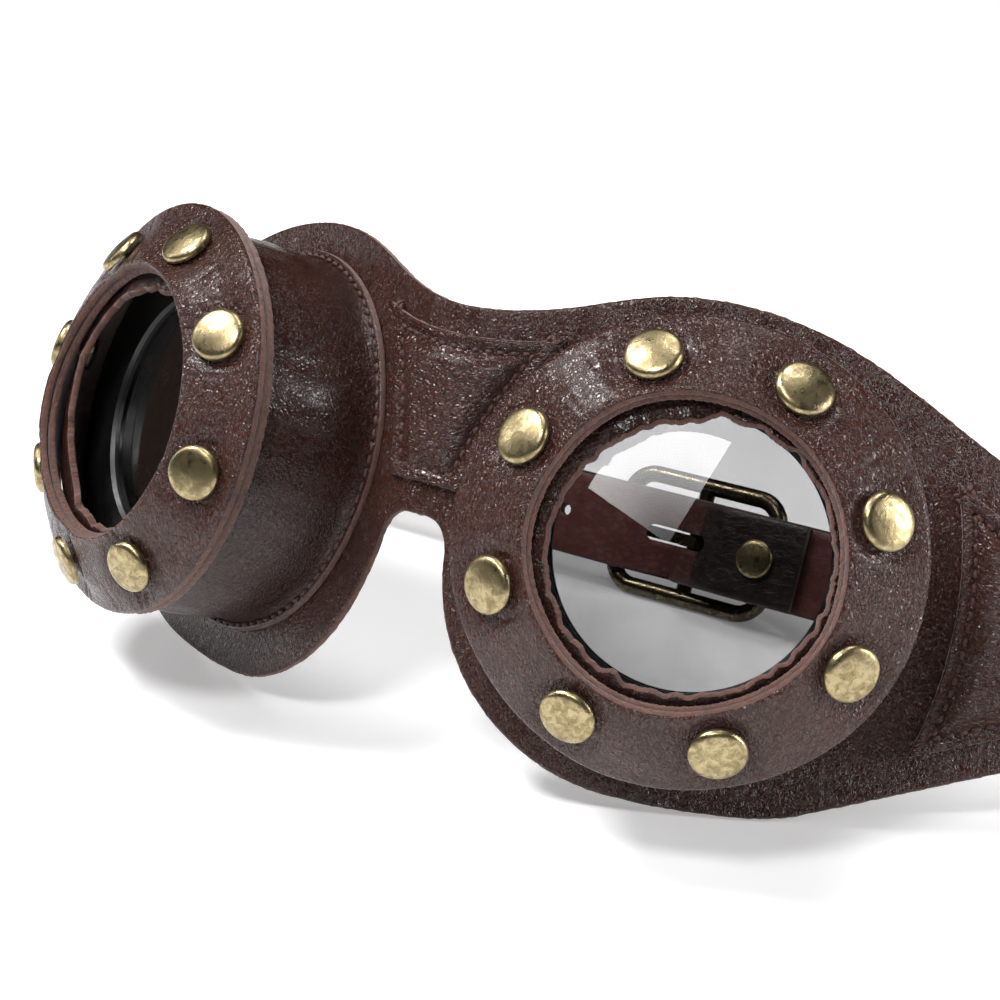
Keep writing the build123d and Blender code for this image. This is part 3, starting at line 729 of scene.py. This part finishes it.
def stitches(name, line, outwards, pitch=2.3, length=1.6):
    """A row of thread stitches round a closed upright-frame line, each sunk at both ends."""
    line_run = np.concatenate([line, line[:1]])
    out_run = np.concatenate([outwards, outwards[:1]])
    run = run_along(line_run)
    rng = np.random.default_rng(len(line))
    count = int(run[-1] / pitch)
    ring = np.linspace(0, 2 * math.pi, 8, endpoint=False)
    share, thick, rise = STITCH[0], THREAD_RADIUS * STITCH[1], THREAD_RADIUS * STITCH[2]
    tube = grid_faces(len(share), len(ring), close_rows=False)
    points, faces = [], []
    for k in range(count):
        at = (k + 0.5 + rng.uniform(-0.06, 0.06)) * run[-1] / count + share * length
        spot, out = points_at(at, run, line_run), points_at(at, run, out_run)
        along = spot[-1] - spot[0]
        along /= np.linalg.norm(along)
        sideways = np.cross(along, out)
        first = len(points) * len(ring) * len(share)
        body = (
            (spot + rise[:, None] * out)[:, None]
            + thick[:, None, None] * np.cos(ring)[None, :, None] * sideways[:, None]
            + thick[:, None, None] * np.sin(ring)[None, :, None] * out[:, None] * 0.8
        )
        points.append(body.reshape(-1, 3))
        faces += [tuple(first + v for v in f) for f in tube]
        last = first + (len(share) - 1) * len(ring)
        faces += [tuple(range(end, end + len(ring))) for end in (first, last)]
    made = new_object(name, np.concatenate(points), faces, [seam_thread])
    settle(made, "mask", "brown_leather")


# ---- the mask and its linings ----


def mask_front(flat, near):
    """The mask's face: nearly flat, with a slow swell, a dip along its edge and creases up high."""
    high = step_up(flat[:, 1], 16, 30) * step_up(near, 0.5, 3)
    creases = -0.30 * np.maximum(wobble(flat * (1.0, 0.28), 3.6, 77), 0) ** 1.5 * high
    return creases + 0.22 * wobble(flat, 26, 3) * step_up(near, 0, 6) - 0.12 * np.exp(-near / 0.8)


def level_front(base):
    def front(flat, near):
        return base + 0.1 * wobble(flat, 15, 5) * step_up(near, 0, 3)

    front.base = base
    return front


mask_front.base = 0.0


def build_mask():
    outline = resample(mask_outline(), 0.9, closed=True)
    holes = [circle((side * cup_along, 0), EYE_HOLE) for side in (1, -1)]
    made = sheet_piece(
        "mask_leather_panel", [outline, *holes], 1.15, mask_front, PANEL,
        [mask_leather, raw_edge, flesh_side], ragged=0.07,
    )
    settle(made, "mask", "brown_leather", "mask_panel")
    return outline


def build_linings(outline):
    """Cloth behind each half, short of the mask's edge and of the bridge bend."""
    for name, side in (("left", 1), ("right", -1)):
        along = outline[:, 0] * side
        half = outline[(along > LINING_START) & (along < LINING_END)]
        centre = np.array((side * cup_along, 0.0))
        loop = centre + (half - centre) * LINING_SCALE
        order = np.argsort(np.arctan2(loop[:, 1], loop[:, 0] - centre[0]))
        loop = resample(loop[order], 1.2, closed=True)
        made = sheet_piece(
            f"{name}_lining_cloth", [loop, circle(centre, EYE_HOLE - 1.0)], 1.8,
            level_front(-PANEL - LINING_GAP), LINING - 0.1, [lining_cloth] * 3,
        )
        settle(made, "mask", "lining_fabric", f"{name}_lining")


# ---- padded patches ----


def patch_front(flat, near):
    """Up over the cut edge, down at the seam, and up again over the padding."""
    rim = PATCH + 0.35 * np.exp(-near / 0.9)
    seam = -0.75 * np.exp(-(((near - SEAM_INSET) / 0.55) ** 2))
    crown = PATCH_RISE * step_up(near, SEAM_INSET + 0.2, SEAM_INSET + 3.6)
    return GAP + rim + seam + crown + 0.10 * wobble(flat, 7, 11) * step_up(near, 2, 6)


patch_front.base = GAP + PATCH


def build_patch(name, loop, *stands_for):
    made = sheet_piece(
        f"{name}_leather", [resample(loop, 0.7, closed=True)], 0.75, patch_front, PATCH,
        [patch_leather, raw_edge, flesh_side],
    )
    settle(made, "mask", "brown_leather", *stands_for)
    line = inset(resample(loop, 0.7, closed=True), SEAM_INSET)
    near = np.full(len(line), SEAM_INSET)
    spot = on_sheet(line, patch_front(line, near) + 0.12)
    out = on_sheet(line, patch_front(line, near) + 1.12) - spot
    stitches(f"{name}_stitches", spot, out)


def along_from_x(points):
    """Distance along the sheet, from the distance across seen from the front."""
    p = np.array(points, float)
    x = np.abs(p[:, 0])
    bent = BRIDGE_RADIUS * np.arcsin(np.clip(x / BRIDGE_RADIUS, 0, 1))
    along = np.where(x < bend_x, bent, bend_half + (x - bend_x) / math.cos(CUP_YAW))
    return np.stack([np.sign(p[:, 0]) * along, p[:, 1]], 1)


def bridge_patch_outline():
    return along_from_x(np.concatenate([
        arc_run((-18.6, 30.6), (0, 27.2), (18.6, 30.6))[:-1],
        arc_run((18.6, 30.6), (11.8, 16.2), (7.2, 0))[:-1],
        resample(np.array([(7.2, 0.0), (-7.2, 0.0)]), 0.8)[:-1],
        arc_run((-7.2, 0), (-11.8, 16.2), (-18.6, 30.6))[:-1],
    ]))


def temple_patch_outline(side):
    corners = np.array([(43.9, -25.5), (62.6, -16.2), (62.6, 12.0), (40.8, 22.6)])
    loop = np.concatenate([
        arc_run((40.8, 22.6), (46.3, -3.0), (43.9, -25.5))[:-1],
        resample(corners, 0.8)[:-1],
    ])
    return (loop + (cup_along, 0)) * (side, 1)


# ---- the cups ----
CLOCKS = np.linspace(0, 2 * math.pi, 600, endpoint=False)
AROUND = np.stack([np.sin(CLOCKS), np.cos(CLOCKS)], -1)
RIM_SLANT = 0.4  # how far the ring's cut edge leans out, per mm of depth


def rivet_distance(side, radius, clock):
    """Distance along the ring's face from the nearest rivet's middle."""
    pitch = 2 * math.pi / RIVETS_PER_RING
    turn = (clock - RIVET_PHASE[side] + pitch / 2) % pitch - pitch / 2
    return np.hypot((radius - RIVET_PITCH_RADIUS) / math.cos(RING_SLOPE), RIVET_PITCH_RADIUS * turn)


def ring_warp(side, radius, clock):
    """How far the ring's rims stand off the cone: the right ring is the more bent one."""
    outer = step_up(radius, RIVET_PITCH_RADIUS + 1, RING_RADIUS)
    inner = step_up(RIVET_PITCH_RADIUS - radius, 1, RIVET_PITCH_RADIUS - RING_HOLE)
    amount = 1.5 if side < 0 else 0.6
    lift = np.cos(clock - math.radians(10)) ** 3 - 0.6 * np.cos(2 * clock + 0.4)
    curl = 1.0 if side < 0 else 0.3
    return amount * (0.75 * outer * lift + 0.35 * inner * np.cos(3 * clock + side)) + curl * outer**2


def ring_relief(side, radius, clock):
    """The ring's face: dished under each rivet, puffed between them, with radial creases."""
    spot = rivet_distance(side, radius, clock)
    dish = -0.55 * np.exp(-((np.maximum(spot - RIVET_RADIUS - 0.1, 0) / 1.5) ** 2))
    puff = 0.30 * step_up(spot, 6.0, 10.0)
    around = np.stack([RING_RADIUS * clock, radius * 0.35 + 40 * np.sin(clock)], -1)
    creases = -0.16 * np.maximum(wobble(around, 3.4, 21 + side), 0) ** 1.5
    creases = creases * step_up(spot, 4.6, 5.6) * (0.35 + 0.65 * step_up(-spot, -11, -6))
    return dish + puff + creases


def seed_of(name):
    return sum((k + 1) * ord(letter) for k, letter in enumerate(name))


def build_ring(name, side, slot_name, node, outer, hole, depth, looks, relief, ragged):
    """One leather layer of a ring, as a closed band round the cup."""
    rng = np.random.default_rng(seed_of(name))
    rows = []
    for radius in np.linspace(hole + SKIN_START, outer - SKIN_START, 34):
        rows.append((radius, 0.0, 0, 1.0))
    for start, share, raw in CUT_EDGE:
        down = share * RING_LEATHER
        rows.append((outer - start + RIM_SLANT * down, down, int(raw), 0.0))
    for radius in np.linspace(outer - 1.0, hole + 1.0, 8):
        rows.append((radius, RING_LEATHER, 2, 1.0))
    for start, share, raw in reversed(CUT_EDGE):
        rows.append((hole + start, share * RING_LEATHER, int(raw), 0.0))
    half = (outer - hole) / 2
    points, kinds = [], []
    for radius, down, kind, flat in rows:
        bulge = RING_BULGE * (1 - ((radius - (outer + hole) / 2) / half) ** 2)
        under = depth + down - bulge
        jag = rng.normal(size=len(CLOCKS)) * ragged * (kind == 1)
        at = radius + jag + 0.25 * wobble(AROUND, 1.2, 9 + side) * (flat == 0)
        lift = ring_warp(side, at, CLOCKS)
        if relief:
            lift = lift + ring_relief(side, at, CLOCKS) * (1 - down / RING_LEATHER)
        r, w = ring_point(at, under - lift)
        points.append(on_cup(side, CLOCKS, r, w))
        kinds.append(kind)
    faces = grid_faces(len(rows), len(CLOCKS))
    made = new_object(name, np.concatenate(points), faces, looks, looks_between(kinds, len(CLOCKS)))
    settle(made, "mask", slot_name, node)


# The flange's cut edge, as (out, height, raw), and its face with the groove of the seam,
# as (radius, height).
FLANGE_EDGE = (
    (-0.25, 0.02, 1), (0.0, 0.3, 1), (0.05, 0.75, 1), (0.0, 1.05, 1), (-0.06, 1.30, 0),
    (-0.25, 1.42, 0),
)
FLANGE_FACE = ((37.4, 1.46), (37.15, 1.38), (36.95, 1.05), (36.75, 0.95), (36.6, 1.15))


def hem_reach(side, clock):
    """How far the turned-in hem shows inside the ring's hole, and how far it sags from the ring."""
    lean = 1.1 * np.cos(clock - math.radians(285)) + 0.6 * np.cos(2 * clock + 1.3 * side)
    pleat = np.abs(np.sin(3.5 * clock + 1.5 * np.sin(2 * clock) + side)) ** 0.6
    show = 0.5 + lean - 1.3 * pleat * step_up(lean, -0.5, 1.2)
    show = show + 0.9 * np.exp(-((clock - 6.0) / 0.25) ** 2)
    sag = 0.6 + 1.9 * step_up(lean, -0.8, 1.6) * (0.35 + 0.65 * pleat)
    return np.clip(show, -0.4, 3.6), sag


def build_wall(name, side):
    """The cup's side with its stitched flange, and the hem turned in under the ring."""
    hem_top = 2 * (RING_LEATHER + GAP)
    inside = WALL_RADIUS - WALL
    top = ring_point(WALL_RADIUS + hem_top * math.sin(RING_SLOPE), hem_top)
    show, sag = hem_reach(side, CLOCKS)
    rng = np.random.default_rng(31 + side)
    rag = rng.normal(size=len(CLOCKS)) * 0.05 + 0.35 * wobble(AROUND, 0.16, 41 + side)
    rows, kinds = [], []

    def row(radius, height, kind=0):
        rows.append((np.broadcast_to(radius, CLOCKS.shape), np.broadcast_to(height, CLOCKS.shape)))
        kinds.append(kind)

    def hem_row(share, down, kind):
        at = HEM_START - share * (HEM_START - RING_HOLE + show)
        row(*ring_point(at + rag * share**3, hem_top + down + 0.1 + sag * share**1.4), kind)

    flange = 0.3 * wobble(AROUND, 0.8, 51 + side)
    for out, height, kind in FLANGE_EDGE:
        row(FLANGE_RADIUS + out + flange * 0.5, height, kind)
    for radius, height in FLANGE_FACE:
        row(radius + flange * 0.4, height)
    for share in np.linspace(0.06, 0.97, 40):
        height = 1.3 + share * (top[1] - 1.3)
        bulge = WALL_BULGE * math.sin(math.pi * min(share / 0.9, 1))
        bulge += 0.35 * math.exp(-(share / 0.07) ** 2)
        surface = np.column_stack([AROUND * WALL_RADIUS, np.full(len(CLOCKS), height * 0.45)])
        swell = 0.40 * wobble(surface, 22, 61 + side) + 0.10 * wobble(surface, 6, 71 + side)
        pucker = 0.22 * wobble(surface, 4.5, 81 + side) * max(0, (share - 0.72) / 0.25) ** 2
        fade = math.sin(math.pi * min(0.05 + share * 0.92, 1)) ** 0.5
        row(WALL_RADIUS + bulge + (swell + pucker) * fade, height)
    for turn in np.linspace(0.3, 1.0, 4):
        turn = turn * math.pi / 2
        row(top[0] - 1.2 * (1 - math.cos(turn)), top[1] + 0.9 * math.sin(turn) - 0.35)
    for radius in (33.5, 31.5, 30.0):
        row(*ring_point(radius, hem_top + 0.05))
    for share in np.linspace(0.1, 1.0, 12):
        hem_row(share, 0.0, 0)
    for share in (0.15, 0.45, 0.8, 1.0):
        at = RING_HOLE - show - 0.15 * math.sin(share * math.pi) + rag
        row(*ring_point(at, hem_top + 0.1 + sag + share * HEM_LEATHER), 1)
    for share in np.linspace(0.9, 0.1, 6):
        hem_row(share, HEM_LEATHER, 2)
    for radius in (31.0, 33.0):
        row(*ring_point(radius, hem_top + HEM_LEATHER + 0.05), 2)
    for share in np.linspace(0.94, 0.02, 14):
        row(inside + WALL_BULGE * math.sin(math.pi * share), GAP + share * (top[1] - 1.6), 2)
    points = [on_cup(side, CLOCKS, r, w) for r, w in rows]
    faces = grid_faces(len(rows), len(CLOCKS))
    looks = [wall_leather, raw_edge, flesh_side]
    of_face = looks_between(kinds, len(CLOCKS))
    made = new_object(f"{name}_cup_leather", np.concatenate(points), faces, looks, of_face)
    settle(made, "mask", "brown_leather", f"{name}_cup_wall")
    seam_radius = FLANGE_SEAM + flange * 0.4
    seam = on_cup(side, CLOCKS, seam_radius, np.full(len(CLOCKS), 1.2))
    out = on_cup(side, CLOCKS, seam_radius + 0.5, np.full(len(CLOCKS), 2.07)) - seam
    stitches(f"{name}_cup_stitches", seam, out, pitch=2.5, length=1.8)


# ---- the straps ----


# A strap's soft edge, from face to face: (out, height in half thicknesses).
BAND_EDGE = ((0.0, 0.86), (0.22, 0.5), (0.26, 0.0), (0.22, -0.5), (0.0, -0.86))


def band(name, path, across, width, looks, thickness, closed=False, round_start=0.0, round_end=0.0):
    """A leather band along a path, with its width across, soft edges and rounded ends."""
    path, across = np.asarray(path, float), np.array(across, float)
    if closed:
        half = np.full(len(path), width / 2)
        way = np.roll(path, -1, 0) - np.roll(path, 1, 0)
    else:
        run = run_along(path)
        turn = 1 - np.cos(np.linspace(0.04, math.pi / 2, 14))
        stops = np.concatenate([
            round_start * turn[:-1] if round_start else [],
            np.arange(round_start, run[-1] - round_end, 0.9),
            run[-1] - round_end * turn[::-1] if round_end else run[-1:],
        ])
        path = points_at(stops, run, path)
        half = np.full(len(stops), width / 2)
        for radius, reach in ((round_start, stops), (round_end, run[-1] - stops)):
            if radius:
                short = radius - np.minimum(reach, radius)
                half = np.minimum(half, np.sqrt(np.maximum(radius**2 - short**2, 0.2)))
        way = np.gradient(path, axis=0)
    way /= np.linalg.norm(way, axis=1)[:, None]
    normal = np.cross(across, way)
    flat = np.linspace(-1, 1, 13)
    face, rim = half - 0.45, half - 0.26
    rows = [(u * face, 1.0, 0) for u in flat]
    rows += [(rim + out, v, 1) for out, v in BAND_EDGE]
    rows += [(u * face, -1.0, 2) for u in flat[::-1]]
    rows += [(-(rim + out), v, 1) for out, v in reversed(BAND_EDGE)]
    kinds = [kind for _, _, kind in rows]
    points = [path + reach[:, None] * across + v * thickness / 2 * normal for reach, v, _ in rows]
    points = [p + 0.06 * wobble(p, 16, 91)[:, None] * normal for p in points]
    faces = grid_faces(len(points), len(path), close_columns=closed)
    raw_or_own = [1 if 1 in (a, b) else a for a, b in zip(kinds, kinds[1:] + kinds[:1])]
    of_face = np.repeat(raw_or_own, len(path) - (not closed)).tolist()
    if not closed:
        for end in (0, len(path) - 1):
            faces.append(tuple(k * len(path) + end for k in range(len(points))))
            of_face.append(1)
    return new_object(name, np.concatenate(points), faces, looks, of_face)


def pin(centre, way, radius, reach, stretch=0.0, along=(1.0, 0.0, 0.0)):
    """Points and faces of a round or oval cutter through a spot, in the upright frame."""
    way = np.array(way, float) / np.linalg.norm(way)
    first = np.array(along, float)
    second = np.cross(way, first)
    turn = np.linspace(0, 2 * math.pi, 28, endpoint=False)
    oval = radius * np.cos(turn)[:, None] * first + radius * np.sin(turn)[:, None] * second
    oval = oval + np.sign(np.cos(turn))[:, None] * stretch * first
    near, far = np.array(centre) + oval - reach * way, np.array(centre) + oval + reach * way
    ring = np.arange(len(turn))
    faces = joining_faces(ring, ring + len(turn))
    return np.concatenate([near, far]), faces + [tuple(ring), tuple(ring + len(turn))]


def punch(made, cutters):
    """Cuts holes through a piece."""
    points, faces, count = [], [], 0
    for p, f in cutters:
        points.append(p)
        faces += [tuple(v + count for v in face) for face in f]
        count += len(p)
    tool = new_object("hole_cutter", np.concatenate(points), faces, [made.data.materials[1]])
    cut = made.modifiers.new("holes", "BOOLEAN")
    cut.object = tool
    cut.solver = "EXACT"
    bpy.context.view_layer.update()
    done = bpy.data.meshes.new_from_object(made.evaluated_get(bpy.context.evaluated_depsgraph_get()))
    made.modifiers.remove(cut)
    made.data = done
    done.name = made.name
    bpy.data.objects.remove(tool)


strap_x = wing_x - PANEL - SWING_GAP - STRAP / 2
tip = STRAP_WIDTH / 2
frame_y = STRAP_Y + STRAP / 2 + BAR_GAP + WIRE_RADIUS
left_bar = (BUCKLE_X - BAR_PITCH, frame_y)
centre_bar = (BUCKLE_X, frame_y)
right_bar = (BUCKLE_X + BAR_PITCH, frame_y)
fold_y = STRAP_Y - STRAP - 2 * GAP
tail_y = STRAP_Y + STRAP + 4 * GAP
wrap_radius = CENTRE_BAR_RADIUS + 3 * GAP + STRAP / 2
under_radius = WIRE_RADIUS + BAR_GAP + STRAP / 2
over_radius = wrap_radius + STRAP + SWING_GAP
rise = math.asin((under_radius + over_radius) / BAR_PITCH)
fall = -math.asin((over_radius - under_radius) / BAR_PITCH)
drop = math.radians(-22)


def bend_round(bar, radius, angle_in, angle_out):
    """Corner between two runs that pass a bar: positive radius behind it, negative inside."""
    halfway = (angle_in + angle_out) / 2
    reach = radius / math.cos((angle_out - angle_in) / 2)
    return (bar[0] - reach * math.sin(halfway), bar[1] + reach * math.cos(halfway))


def tangent_to_bar(start, way):
    """Where a run from start touches the strap's loop round the centre bar."""
    dx, dy = centre_bar[0] - start[0], centre_bar[1] - start[1]
    angle = math.atan2(dy, dx) + way * math.asin(wrap_radius / math.hypot(dx, dy))
    run = math.sqrt(dx**2 + dy**2 - wrap_radius**2)
    return (start[0] + run * math.cos(angle), start[1] + run * math.sin(angle))


def level(path):
    """A plan path at the middle of the band's height."""
    return np.column_stack([path, np.zeros(len(path))])


def build_left_strap():
    main_corner = (BUCKLE_X + FOLD_START, STRAP_Y)
    fold_corner = (BUCKLE_X + FOLD_START - FOLD_NARROWING, fold_y)
    loop_start, loop_end = tangent_to_bar(main_corner, -1), tangent_to_bar(fold_corner, 1)
    path = np.concatenate([
        rounded_path(
            [(strap_x, rivet_y - tip), (strap_x, STRAP_Y), main_corner, loop_start],
            [STRAP_BEND, FOLD_BEND],
        ),
        arc_run(loop_start, (centre_bar[0] - wrap_radius, frame_y), loop_end, 0.5)[1:-1],
        rounded_path([loop_end, fold_corner, (FOLD_END_X, fold_y)], [FOLD_BEND + 0.5]),
    ])
    made = band(
        "left_strap_leather", level(path), (0, 0, 1), STRAP_WIDTH, left_looks, STRAP, round_start=tip,
    )
    # Painted shade: the folded-back end gets the near-black strap leather on both of its faces.
    fold_back = place((0, STRAP_Y - STRAP / 2, 0)) @ BACK
    for face in made.data.polygons:
        if face.material_index != 1 and face.center.x < place((FOLD_END_X + 0.5, 0, 0))[0]:
            if Vector(BACK).dot(face.center) < fold_back:
                face.material_index = 3
    punch(made, [
        pin((strap_x, rivet_y, 0), (1, 0, 0), TEMPLE_POST + GAP, 3, along=(0, 1, 0)),
        pin((FOLD_RIVET_X, STRAP_Y - STRAP / 2, 0), (0, 1, 0), POST_HOLE, 4),
        pin((BUCKLE_X - 1.0, frame_y, 0), (0, 1, 0), PRONG_SLOT / 2, 6, stretch=PRONG_SLOT_STRETCH),
    ])
    settle(made, "strap", "strap_leather", "left_strap")


def build_right_strap():
    under_left_bar = bend_round(left_bar, -under_radius, 0, rise)
    over_centre_bar = bend_round(centre_bar, over_radius, rise, fall)
    over_right_bar = bend_round(right_bar, under_radius, fall, drop)
    tail_start = (over_right_bar[0] + (tail_y - over_right_bar[1]) / math.tan(drop), tail_y)
    path = rounded_path(
        [
            (-strap_x, rivet_y - tip), (-strap_x, STRAP_Y), under_left_bar, over_centre_bar,
            over_right_bar, tail_start, (TAIL_END_X, tail_y),
        ],
        [STRAP_BEND, under_radius, over_radius, under_radius, 10.0],
    )
    made = band(
        "right_strap_leather", level(path), (0, 0, 1), STRAP_WIDTH, right_looks, STRAP,
        round_start=tip, round_end=tip,
    )
    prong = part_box("buckle_prong")
    slot_x = 1000 * (prong[0].x + prong[1].x) / 2 + 1.5
    slot_y = under_left_bar[1] + math.tan(rise) * (slot_x - under_left_bar[0])
    holes = [pin((-strap_x, rivet_y, 0), (1, 0, 0), TEMPLE_POST + GAP, 3, along=(0, 1, 0))]
    for k in range(HOLES):
        holes.append(pin((FIRST_HOLE_X - HOLE_SPACING * k, STRAP_Y, 0), (0, 1, 0), HOLE_RADIUS, 3))
    holes.append(pin((TAIL_END_X - 2 * HOLE_SPACING, tail_y, 0), (0, 1, 0), HOLE_RADIUS, 1.2))
    holes.append(pin(
        (slot_x, slot_y, 0), (-math.sin(rise), math.cos(rise), 0), PRONG_SLOT / 2, 2.0,
        stretch=USED_HOLE_LENGTH / 2 - PRONG_SLOT / 2, along=(math.cos(rise), math.sin(rise), 0),
    ))
    punch(made, holes)
    settle(made, "strap", "strap_leather", "right_strap")


def build_keeper():
    low = STRAP_Y - STRAP / 2 - SWING_GAP - KEEPER_SKIN / 2
    high = tail_y + STRAP / 2 + SWING_GAP + KEEPER_SKIN / 2
    reach = STRAP_WIDTH / 2 + SWING_GAP + KEEPER_SKIN / 2
    middle = (low + high) / 2
    start = (middle, reach)
    corners = [start, (high, reach), (high, -reach), (low, -reach), (low, reach), start]
    loop = rounded_path(corners, [KEEPER_BEND] * 4, 0.25)[:-1]
    even = resample(loop, 0.4, closed=True)
    path = np.column_stack([np.full(len(even), KEEPER_X), even])
    made = band("keeper_leather", path, (1, 0, 0), KEEPER_LENGTH, right_looks, KEEPER_SKIN, closed=True)
    settle(made, "keeper", "strap_leather", "strap_keeper")


# ---- build ----
right_looks = [strap_leather, strap_edge, strap_inside]
left_looks = [strap_inside, strap_edge, strap_leather, shaded_fold_leather]
outline = build_mask()
build_linings(outline)
build_patch("bridge_patch", bridge_patch_outline(), "bridge_patch", "bridge_padding")
for name, side in (("left", 1), ("right", -1)):
    patch = f"{name}_temple_patch"
    build_patch(patch, temple_patch_outline(side), patch, f"{name}_temple_padding")
    build_ring(
        f"{name}_ring_leather", side, "brown_leather", f"{name}_ring_face", RING_RADIUS, RING_HOLE, 0.0,
        [ring_leather, raw_edge, flesh_side], True, 0.05,
    )
    build_ring(
        f"{name}_ring_backing_leather", side, "raw_leather", f"{name}_ring_backing", RING_RADIUS + 0.7,
        RING_HOLE + 0.2, RING_LEATHER + GAP, [flesh_side, raw_edge, flesh_side], False, 0.07,
    )
    build_wall(name, side)
build_left_strap()
build_right_strap()
build_keeper()


# Every CAD node that stays visible gets its material.
NODE_LOOKS = (
    ("housing", black_plastic), ("retainer", black_plastic), ("lens", lens_glass),
    ("buckle", buckle_brass), ("rivet", rivet_brass),
)
for node, made in frame["nodes"].items():
    fitting = [look for word, look in NODE_LOOKS if word in node]
    if fitting:
        made.data.materials.clear()
        made.data.materials.append(fitting[0])

# ---- stage ----


def matt(name, colour, glow=0.0):
    look = Look(name)
    look.set(Base_Color=look.mix(look.noise(3), colour, tuple(c * 0.99 for c in colour)))
    look.set(Roughness=0.9, Emission_Strength=glow, Emission_Color=(1, 1, 1, 1), Specular_IOR_Level=0.1)
    return look.material


def build_stage():
    """A white floor, a dim sky that brightens upwards, and five soft light panels."""
    reach = 4.0
    mesh = bpy.data.meshes.new("floor")
    corners = [(-reach, -reach, 0), (reach, -reach, 0), (reach, reach, 0), (-reach, reach, 0)]
    mesh.from_pydata(corners, [], [(0, 1, 2, 3)])
    mesh.materials.append(matt("floor_white", (0.86, 0.86, 0.865), glow=0.34))
    link(bpy.data.objects.new("floor", mesh))
    world = bpy.data.worlds.new("studio")
    bpy.context.scene.world = world
    world.use_nodes = True
    nodes = world.node_tree.nodes
    way = nodes.new("ShaderNodeTexCoord").outputs["Generated"]
    way = feed(nodes.new("ShaderNodeSeparateXYZ"), Vector=way)
    height = nodes.new("ShaderNodeMapRange")
    feed(height, Value=way.outputs["Z"], From_Min=0.1, From_Max=0.8, To_Min=0.04, To_Max=0.32)
    feed(nodes["Background"], Strength=height.outputs["Result"])
    middle = (cad_low + cad_high) / 2
    for name, size, spot, strength in (
        ("key_box", (0.30, 0.22), (-0.42, -0.20, 0.80), 8.5),
        ("front_box", (0.24, 0.16), (0.10, -0.50, 0.80), 4.0),
        ("overhead", (0.40, 0.30), (0.05, 0.25, 0.90), 3.5),
        ("left_box", (0.2, 0.6), (-0.9, -0.3, 0.55), 2.0),
        ("right_box", (0.20, 0.50), (0.88, 0.32, 0.28), 6.5),
    ):
        lamp = bpy.data.lights.new(name, "AREA")
        lamp.shape = "RECTANGLE"
        lamp.size, lamp.size_y = size
        lamp.energy = strength
        made = link(bpy.data.objects.new(name, lamp))
        made.location = spot
        made.rotation_euler = (Vector(middle) - Vector(spot)).to_track_quat("-Z", "Y").to_euler()


CAMERA_SPOT = (228.20, -375.00, 9.35)  # in the upright frame
CAMERA_TURN = (math.radians(-30.65), math.radians(-1.24), math.radians(14.1))  # yaw, pitch, roll
CAMERA_LENS = 85.2


def build_camera():
    yaw, pitch, roll = CAMERA_TURN
    level_way = np.array((math.sin(yaw), math.cos(yaw), 0.0))
    ahead = math.cos(pitch) * level_way + np.array((0.0, 0.0, math.sin(pitch)))
    side = np.array((math.cos(yaw), -math.sin(yaw), 0.0))
    top = np.cross(side, ahead)
    right = math.cos(roll) * side + math.sin(roll) * top
    above = -math.sin(roll) * side + math.cos(roll) * top
    turn = np.stack([ACROSS, BACK, UP], 1)
    columns = [turn @ right, turn @ above, turn @ -ahead, place(CAMERA_SPOT)]
    data = bpy.data.cameras.new("camera")
    data.lens = CAMERA_LENS
    data.sensor_width = 36.0
    data.clip_start, data.clip_end = 0.01, 50.0
    made = link(bpy.data.objects.new("camera", data))
    made.matrix_world = Matrix([*np.column_stack(columns).tolist(), (0, 0, 0, 1)])
    bpy.context.scene.camera = made


LENS_CARD_DISTANCE = 0.50
LENS_CARD_RADIUS = 0.042
LENS_CARD_SHIFT = (0.0083, 0.0034)
LENS_CARD_TURNS = (math.radians(-55), math.radians(32))


def build_lens_card():
    """A fan-shaped reflector beside the camera, which only the gloss of the lens shows."""
    camera = bpy.context.scene.camera
    spot = Vector(LENS_SPOT[0] / 1000)
    normal = Vector(math.sin(CUP_YAW) * ACROSS - math.cos(CUP_YAW) * BACK)
    to_camera = (camera.location - spot).normalized()
    mirrored = (2 * normal.dot(to_camera) * normal - to_camera).normalized()
    centre = spot + mirrored * LENS_CARD_DISTANCE
    top = camera.matrix_world.to_3x3().col[1]
    top = (top - top.dot(mirrored) * mirrored).normalized()
    side = mirrored.cross(top)
    centre += LENS_CARD_SHIFT[0] * side + LENS_CARD_SHIFT[1] * top
    points = [centre]
    for turn in np.linspace(*LENS_CARD_TURNS, 24).tolist():
        reach = LENS_CARD_RADIUS * (1 + 0.13 * turn)
        points.append(centre + reach * (math.cos(turn) * top - math.sin(turn) * side))
    mesh = bpy.data.meshes.new("lens_card")
    mesh.from_pydata([p[:] for p in points], [], [(0, k, k + 1) for k in range(1, len(points) - 1)])
    look = Look("card_white")
    distance = look.add("VectorMath")
    distance.operation = "DISTANCE"
    join(distance.inputs[0], look.where)
    join(distance.inputs[1], centre)
    glow = look.remap(distance.outputs["Value"], 0.0, LENS_CARD_RADIUS, 1.5, 8.0)
    look.set(Emission_Strength=glow, Emission_Color=(1, 1, 1, 1), Base_Color=(0, 0, 0, 1))
    mesh.materials.append(look.material)
    made = link(bpy.data.objects.new("lens_card", mesh))
    made.visible_camera = made.visible_diffuse = made.visible_shadow = False


build_stage()
build_camera()
build_lens_card()
bpy.context.scene.view_settings.view_transform = "Standard"
